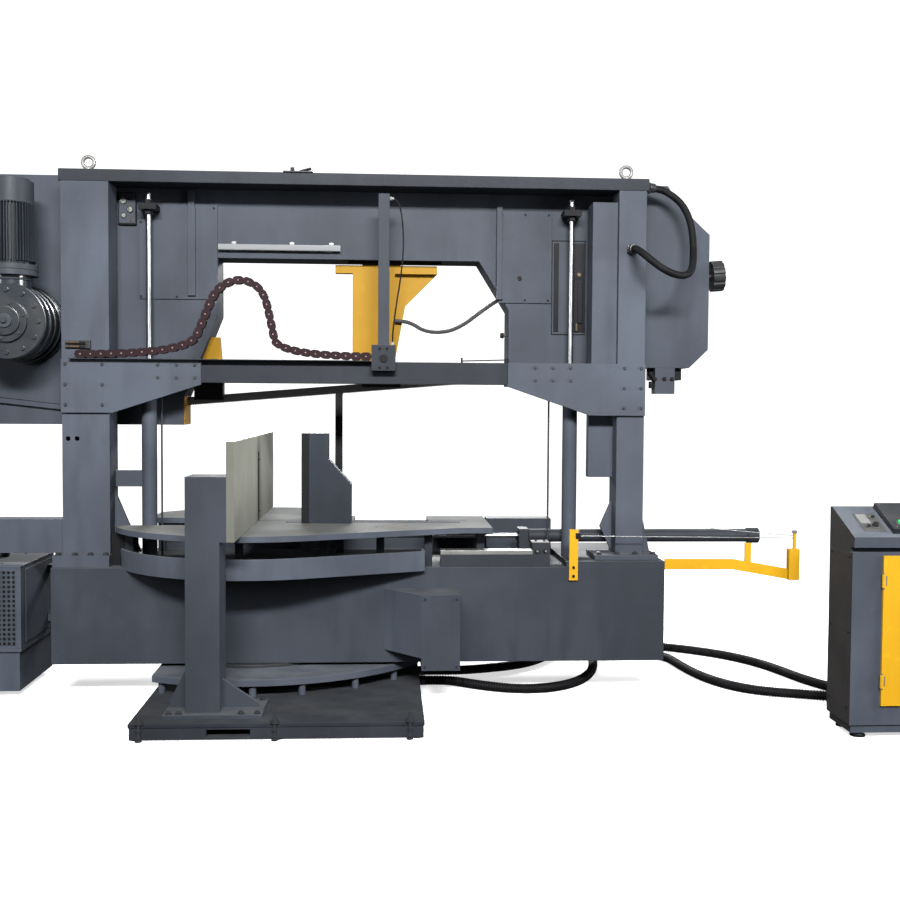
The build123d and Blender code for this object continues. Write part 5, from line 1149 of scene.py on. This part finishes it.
def drive_fittings():
    """Extra fins, fan grille, flange rings and gear box cap."""
    build = Build()
    for index in range(24):
        turn = Matrix.Rotation(math.radians(index * 15 + 7.5), 4, "Z")
        spot = turn @ Vector((0.1005, 0, 0)) + Vector((DRIVE_X, MOTOR_Y, 0))
        build.block((spot.x - 0.0115, spot.y - 0.0016, MOTOR_LOW + 0.040),
                    (spot.x + 0.0115, spot.y + 0.0016, MOTOR_HIGH - 0.122), 0.0, 0, turn)
    hub = Vector((DRIVE_X, MOTOR_Y, MOTOR_HIGH))
    for radius in (0.026, 0.044, 0.062, 0.078):
        build.ring(hub, UP, radius, 0.003, 1, 40, 6)
    for x, y in around(8):
        build.bar(hub, hub + 0.080 * Vector((x, y, 0)), 0.0026, 1, 6, 0.0)
    for x, y in around(8, 0.2):
        build.bolt((DRIVE_X + 0.109 * x, MOTOR_Y + 0.109 * y, MOTOR_LOW + 0.024), UP, 0.017, 2)
    for z, radius, thickness in ((MOTOR_HIGH - 0.118, 0.1035, 0.004), (MOTOR_LOW + 0.0005, 0.1215, 0.0035),
                                 (MOTOR_LOW - 0.045, 0.089, 0.006)):
        build.ring((DRIVE_X, MOTOR_Y, z), UP, radius, thickness, 1, 48, 8)
    build.rod((DRIVE_X, GEAR_FACE, DRIVE_Z), "Y", -0.449, 0.070, 3, 40, 0.004)
    build.rod((DRIVE_X, -0.449, DRIVE_Z), "Y", -0.458, 0.034, 1, 32, 0.003)
    build.bolt((DRIVE_X, -0.458, DRIVE_Z), FRONT, 0.024, 2)
    for radius, y in ((0.180, -0.408), (0.181, -0.330), (0.181, -0.250), (0.186, -0.180)):
        build.ring((DRIVE_X, y, DRIVE_Z), BACK, radius, 0.006, 3, 64, 8)
    for x, z in around(6, 0.3):
        build.bolt((DRIVE_X + 0.086 * x, GEAR_FACE, DRIVE_Z + 0.086 * z), FRONT, 0.013, 2)
    build.screws([(DRIVE_X - 0.150, MOTOR_Y + y, MOTOR_LOW + z) for y in (-0.044, 0.044) for z in (0.100, 0.190)],
                 LEFT, 0.008, 2)
    build.rod((DRIVE_X - 0.115, MOTOR_Y, MOTOR_LOW + 0.090), "Z", MOTOR_LOW + 0.064, 0.014, 1, 6, 0.002)
    build.piece("drive_fittings", "bow", ["motor_paint", "fan_paint", "bolt_steel", "gear_gloss"], "motor_paint")


# Plates on the bow's front: low X and Z, high X and Z, front face, edge and finish number.
BOW_PLATES = [
    (1.522, 1.831, 1.527, 2.320, -0.1035, 0.0005, 1), (1.695, 1.831, 1.700, 2.320, -0.1035, 0.0005, 1),
    (1.522, 1.831, 1.700, 1.836, -0.1035, 0.0005, 1), (1.522, 2.315, 1.700, 2.320, -0.1035, 0.0005, 1),
    (1.660, 1.890, 1.686, 2.110, -0.112, 0.003, 1), (1.640, 2.120, 1.690, 2.165, -0.108, 0.003, 1),
    (1.233, 2.008, 1.262, 2.485, -0.124, 0.003, 0), (-0.344, 2.410, -0.310, 2.540, -0.116, 0.003, 0),
    (1.640, 1.845, 1.694, 2.305, -0.1045, 0.001, 1), (1.534, 1.845, 1.560, 2.305, -0.1030, 0.001, 1),
]
COVER_SCREWS = [(-0.580, 2.005), (-0.400, 2.005), (-0.212, 2.005), (-0.580, 2.380), (-0.212, 2.455),
                (1.262, 2.008), (1.504, 2.008), (1.262, 2.448), (1.504, 2.448), (1.383, 2.008), (1.383, 2.448)]


def bow_fittings():
    """Gauge box, ledge, access panel, screws, rear door stops and the guard at the fixed guide."""
    build = Build()
    # Gauge box with its gauges and tube.
    build.block((-0.692, -0.118, 2.364), (-0.600, BOW_SKIN, 2.528), 0.003, 1)
    build.block((-0.686, -0.1215, 2.372), (-0.606, -0.1175, 2.520), 0.001)
    for x, z, size in ((-0.664, 2.485, 0.017), (-0.630, 2.440, 0.015), (-0.662, 2.410, 0.012)):
        build.rod((x, -0.1215, z), "Y", -0.1265, size, 2, 24)
        build.ring((x, -0.1262, z), BACK, size, 0.0018, 1, 24, 6)
    build.bar((-0.625, -0.1245, 2.380), (-0.648, -0.1245, 2.500), 0.0032, 3, 8, 0.0)
    # Ledge along the left lower edge.
    build.block((-1.602, -0.122, 1.478), (-0.878, BOW_SKIN, 1.488), 0.002, 0, LEDGE_SLOPE)
    build.block((-1.602, -0.122, 1.455), (-0.878, -0.118, 1.484), 0.001, 0, LEDGE_SLOPE)
    # Frame and strips of the access panel, other plates and the covers' screws.
    for left, low, right, high, face, edge, tone in BOW_PLATES:
        build.block((left, face, low), (right, BOW_SKIN, high), edge, tone)
    build.rod((1.665, COVER_FACE, 2.142), "Y", -0.118, 0.010, 3, 16)
    build.rod((1.655, -0.109, 1.850), "Z", 1.890, 0.008, 3, 12)
    build.screws([(x, COVER_FACE, z) for x, z in COVER_SCREWS], FRONT, 0.010, 1)
    build.rod((1.3008, -0.050, 1.827), "X", 1.279, 0.005, 3, 12)
    build.rod((1.281, -0.050, 1.827), "X", 1.262, 0.016, 1, 20, 0.003, 0.014)
    # Stops of the rear doors and screws of the plate between them.
    for x, levels in ((-0.660, (1.62, 2.00, 2.40)), (1.420, (1.80, 2.10, 2.42))):
        for z in levels:
            build.rod((x, BOW_REAR, z), "Y", 0.128, 0.011, 1, 20, 0.002)
    build.screws([(x, BOW_REAR, z) for x in (-0.55, -0.15, 0.35, 0.85, 1.25) for z in (2.560, 2.255)], BACK, 0.014, 1)
    for x in (2.075, 2.125, 2.165):
        build.bolt((x, BOW_FACE, 1.605), FRONT, 0.016, 1)
    build.rod((1.354, -0.1078, 2.122), "Y", -0.1095, 0.011, 1, 20, 0.0004)
    build.block((2.066, -0.060, 1.600), (2.226, 0.060, 1.662), 0.003, 1)
    build.bar((2.052, -0.075, 1.640), (2.082, -0.075, 1.600), 0.016, 1, 16, 0.003)
    build.rod((2.060, -0.080, 1.592), "Z", 1.556, 0.014, 1, 16, 0.003)
    # The fittings' painted parts take the bow's darkened paint, painted shade.
    build.piece("bow_fittings", "bow", ["bow_paint", "black_steel", "white_plastic", "brass"], "dark_paint")
    guard = Build()
    guard.block((-0.3692, -0.090, 1.353), (-0.3662, 0.090, 1.548), 0.0008)
    guard.screws([(-0.3662, -0.070, z) for z in (1.375, 1.450, 1.525)], RIGHT, 0.007, 1)
    guard.piece("blade_guard_plate", "bow", ["guide_paint", "black_steel"], "yellow_paint")


def rear_handles():
    """A bow handle and two latches on each rear wheel door."""
    grip, knob = DOOR_REAR + 0.034, DOOR_REAR + 0.010
    for body, x, levels in (("rear_door_left", -0.700, (1.62, 2.40)), ("rear_door_right", 1.450, (1.80, 2.42))):
        build = Build()
        middle = sum(levels) / 2
        for z in (middle - 0.06, middle + 0.06):
            build.rod((x, DOOR_REAR, z), "Y", grip, 0.007, 0, 14)
        build.rod((x, grip, middle - 0.066), "Z", middle + 0.066, 0.008, 0, 16, 0.003)
        for z in levels:
            build.rod((x, DOOR_REAR, z), "Y", knob, 0.020, 0, 28, 0.002)
            build.block((x - 0.004, knob, z - 0.017), (x + 0.004, DOOR_REAR + 0.026, z + 0.017), 0.002)
        build.piece(body + "_handles", body, ["black_plastic"], "black_plastic")


TEETH_START, TEETH_END, TEETH_DROP = 0.747, 2.418, 0.4640
TOOTH_DEPTH, TOOTH_WIDTH, TOOTH_TIP = 0.0056, 0.0016, 0.0004


def blade_teeth():
    """Teeth along the lower edge of the cutting run."""
    run, rise = Vector((math.cos(CANT), 0, math.sin(CANT))), Vector((-math.sin(CANT), 0, math.cos(CANT)))
    hub = Vector((DRIVE_X, 0, DRIVE_Z))
    put = Matrix((run, Vector(FRONT), -rise)).transposed().to_4x4()
    pitch = sizes().tooth_pitch
    build = Build()
    for k in range(int((TEETH_END - TEETH_START) / pitch)):
        tooth = bmesh.new()
        bmesh.ops.create_cone(tooth, cap_ends=True, segments=4, radius1=pitch * 0.70, radius2=TOOTH_TIP,
                              depth=TOOTH_DEPTH)
        bmesh.ops.rotate(tooth, matrix=Matrix.Rotation(math.pi / 4, 3, "Z"), verts=tooth.verts)
        bmesh.ops.scale(tooth, vec=(1.0, TOOTH_WIDTH / (pitch * 0.99), 1.0), verts=tooth.verts)
        spot = hub + run * (TEETH_START + (k + 0.5) * pitch) - rise * TEETH_DROP
        build.take(tooth, 0, Matrix.Translation(spot) @ put)
    build.piece("blade_teeth", "bow", ["zinc_steel"], "blade_steel")


def lamp_fittings():
    """The lamp's frosted strip and its clips."""
    build = Build()
    build.block((-0.184, -0.1325, 2.2462), (0.424, -0.1292, 2.2660), 0.001, 1)
    for x in (-0.110, 0.184, 0.384):
        build.block((x - 0.012, -0.128, 2.2725), (x + 0.012, BOW_FACE, 2.2860), 0.002)
        build.socket_screw((x, -0.116, 2.2860), UP, 0.008)
    build.piece("lamp_lens_clips", "bow", ["zinc_steel", "lamp_lens"], "lamp_metal")


def rod_tone():
    """Picks the second finish for the faces of the lift rods that stand off their axes."""
    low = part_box("lift_rods")[0][2]
    spots = [v.co for v in frame["nodes"]["lift_rods"].data.vertices if v.co.z < low + 0.01]
    axes = []
    for group in ([s for s in spots if s.x < 0.5], [s for s in spots if s.x >= 0.5]):
        axes.append((sum(s.x for s in group) / len(group), sum(s.y for s in group) / len(group)))
    return lambda face: int(min(math.hypot(centre(face).x - x, centre(face).y - y) for x, y in axes) > 0.0135)


class SAW_OT_bow(bpy.types.Operator):
    """Dresses the saw bow, its drive, guides and doors"""
    bl_idname = "saw.bow"
    bl_label = "Saw Bow"

    def execute(self, context):
        # The bow's frame, covers and rear doors take the housing paint darkened, as painted shade.
        dress("bow_frame", "bow_paint", edge=0.003)
        dress("bow_covers", "bow_paint")
        dress("bow_carriages", "black_steel")
        dress("lift_rods", "hard_chrome", "black_steel", edge=0.001, tones=rod_tone())
        dress("motor", "motor_paint", "fan_paint", edge=0.001, tones=outside(2.128, 2.418))
        dress("gear_box", "gear_gloss", "fan_paint", tones=over(2.060))
        dress("saw_blade", "blade_steel", edge=0.0)
        dress("fixed_guide", "guide_paint", "black_steel", edge=0.0015, tones=under(1.60), levels=(1.60,))
        dress("guide_rail", "machined_steel", edge=0.0015)
        # The black band above 2.187 is painted shadow at the bracket's top; below 1.62 the faces take black steel.
        dress("guide_bracket", "guide_paint", "black_steel", tones=outside(1.62, 2.187), levels=(1.62, 2.187))
        dress("work_lamp", "lamp_metal", edge=0.0015)
        dress("drive_wheel", "wheel_iron")
        dress("idler_wheel", "wheel_iron")
        dress("tension_slide", "machined_steel", edge=0.0015)
        dress("tension_knob", "black_plastic")
        dress("rear_door_left", "bow_paint")
        dress("rear_door_right", "bow_paint")
        drive_fittings()
        bow_fittings()
        rear_handles()
        blade_teeth()
        lamp_fittings()
        return {"FINISHED"}


# Console

DESK_CORNER = Vector((2.712, -1.150, 0.896))
DESK_TILT = math.atan2(0.112, 0.248)
PANEL_RISE = 0.026


def on_desk(across, up, out):
    """A place on the sloping desk: across it, up the slope and out of it."""
    return DESK_CORNER + Matrix.Rotation(DESK_TILT, 3, "X") @ Vector((across, up, out))


def desk_block(build, low, high, edge, tone):
    """A box drawn on the desk."""
    low, high = Vector(low), Vector(high)
    spot, half = on_desk(*((low + high) / 2)), (high - low) / 2
    build.block(spot - half, spot + half, edge, tone, Matrix.Rotation(DESK_TILT, 4, "X"))


def console_tone(face):
    """The sides, the desk lightened as painted light, and the rest in the housing paint."""
    if abs(face.normal.x) > 0.9:
        return 1
    return 2 if face.normal.z > 0.6 > -face.normal.y > 0.2 else 0


class SAW_OT_console(bpy.types.Operator):
    """Dresses the console, its panel, door and controls"""
    bl_idname = "saw.console"
    bl_label = "Console"

    def execute(self, context):
        dress("console_body", "dark_paint", "side_paint", "desk_paint", tones=console_tone)
        dress("console_panel", "deep_paint")
        dress("console_screen", "screen_glass", edge=0.001)
        dress("console_door", "yellow_paint")
        dress("start_button", "green_plastic", edge=0.001)
        dress("stop_button", "black_plastic", edge=0.001)
        dress("emergency_stop", "red_plastic", edge=0.0015)
        dress("selector_knob", "black_plastic", edge=0.001)
        self.desk()
        self.panels()
        self.door()
        return {"FINISHED"}

    def desk(self):
        """Switch plate, panel screws, button collars and the screen's frame."""
        build = Build()
        desk_block(build, (0.066, 0.050, -0.0005), (0.164, 0.205, 0.003), 0.001, 0)
        desk_block(build, (0.074, 0.118, 0.003), (0.120, 0.196, 0.0042), 0.0004, 2)
        out = on_desk(0, 0, 1) - on_desk(0, 0, 0)
        for across, up, size in ((0.126, 0.088, 0.016), (0.092, 0.080, 0.009), (0.142, 0.160, 0.009)):
            foot = on_desk(across, up, 0.003)
            build.bar(foot, foot + out * 0.006, size * 1.25)
            build.bar(foot + out * 0.006, foot + out * (0.008 + size * 0.7), size, 1, 24, 0.002, size * 0.86)
        corners = [on_desk(across, up, PANEL_RISE) for across in (0.202, 0.744) for up in (0.046, 0.246)]
        build.screws(corners, out, 0.009)
        for across in (0.235, 0.295, 0.650, 0.712):
            build.ring(on_desk(across, 0.082, PANEL_RISE + 0.0002), out, 0.0175, 0.0022, 0, 28, 8)
        for side in (0.345, 0.595):
            desk_block(build, (side - 0.003, 0.106, 0.025), (side + 0.003, 0.254, 0.0275), 0.0008, 1)
        for up in (0.109, 0.251):
            desk_block(build, (0.342, up - 0.003, 0.025), (0.598, up + 0.003, 0.0275), 0.0008, 1)
        build.piece("desk_fittings", "base", ["zinc_steel", "black_plastic", "grey_plastic"], "black_plastic")

    def panels(self):
        """Side panel with screws, feet, rear vents and cable collars."""
        build = Build()
        build.block((2.7112, -1.118, 0.120), (2.7128, -0.902, 0.820), 0.0004)
        build.screws([(2.7115, y, z) for y in (-1.108, -0.912) for z in (0.135, 0.470, 0.805)], LEFT, 0.009, 1)
        for x in (2.772, 3.440):
            for y in (-1.085, -0.930):
                build.rod((x, y, 0.0), "Z", 0.010, 0.034, 1, 28, 0.003)
                build.rod((x, y, 0.010), "Z", 0.026, 0.016, 2, 6)
        for z in (0.160, 0.340, 0.520, 0.700):
            build.block((2.790, -0.8805, z), (3.420, -0.8775, z + 0.006), 0.001)
        for x in (FRONT_END, REAR_END):
            build.ring((x, -0.878, 0.086), BACK, 0.030, 0.006, 1, 32, 8)
        build.piece("console_panels", "base", ["side_paint", "black_steel", "zinc_steel"], "dark_paint")

    def door(self):
        """Hinge pins and leaves, and the lock's collar and slot."""
        build = Build()
        for z in (0.229, 0.674):
            build.rod((2.847, -1.151, z - 0.004), "Z", z + 0.064, 0.0060, 0, 16)
            build.block((2.850, -1.1512, z + 0.008), (2.862, -1.1492, z + 0.052), 0.0006)
        build.block((3.327, -1.1614, 0.479), (3.347, -1.1590, 0.484), 0.0005, 1)
        build.ring((3.337, -1.1590, 0.4815), BACK, 0.0165, 0.0022, 0, 28, 8)
        build.piece("console_door_fittings", "console_door", ["zinc_steel", "black_plastic"], "yellow_paint")


class SAW_PT_panel(bpy.types.Panel):
    """Lists the saw's groups, sizes and colours"""
    bl_idname = "SAW_PT_panel"
    bl_label = "Band Saw"
    bl_space_type = "VIEW_3D"
    bl_region_type = "UI"
    bl_category = "Band Saw"

    def draw(self, context):
        for kind in OPERATORS:
            self.layout.operator(kind.bl_idname)
        for group in (context.scene.saw_sizes, context.scene.saw_colours):
            for name in group.__annotations__:
                self.layout.prop(group, name)


OPERATORS = [
    SAW_OT_stage, SAW_OT_floor_conduits, SAW_OT_column_loop, SAW_OT_guide_hose, SAW_OT_trip_wires,
    SAW_OT_switch_cable, SAW_OT_energy_chain, SAW_OT_base, SAW_OT_gate, SAW_OT_vice, SAW_OT_bow, SAW_OT_console,
]
CLASSES = [SawSizes, SawColours] + OPERATORS + [SAW_PT_panel]


def register():
    for kind in CLASSES:
        bpy.utils.register_class(kind)
    bpy.types.Scene.saw_sizes = PointerProperty(type=SawSizes)
    bpy.types.Scene.saw_colours = PointerProperty(type=SawColours)


def unregister():
    del bpy.types.Scene.saw_colours
    del bpy.types.Scene.saw_sizes
    for kind in reversed(CLASSES):
        bpy.utils.unregister_class(kind)


def main():
    register()
    for kind in OPERATORS:
        getattr(bpy.ops.saw, kind.bl_idname.split(".")[1])()


if __name__ == "__main__":
    main()
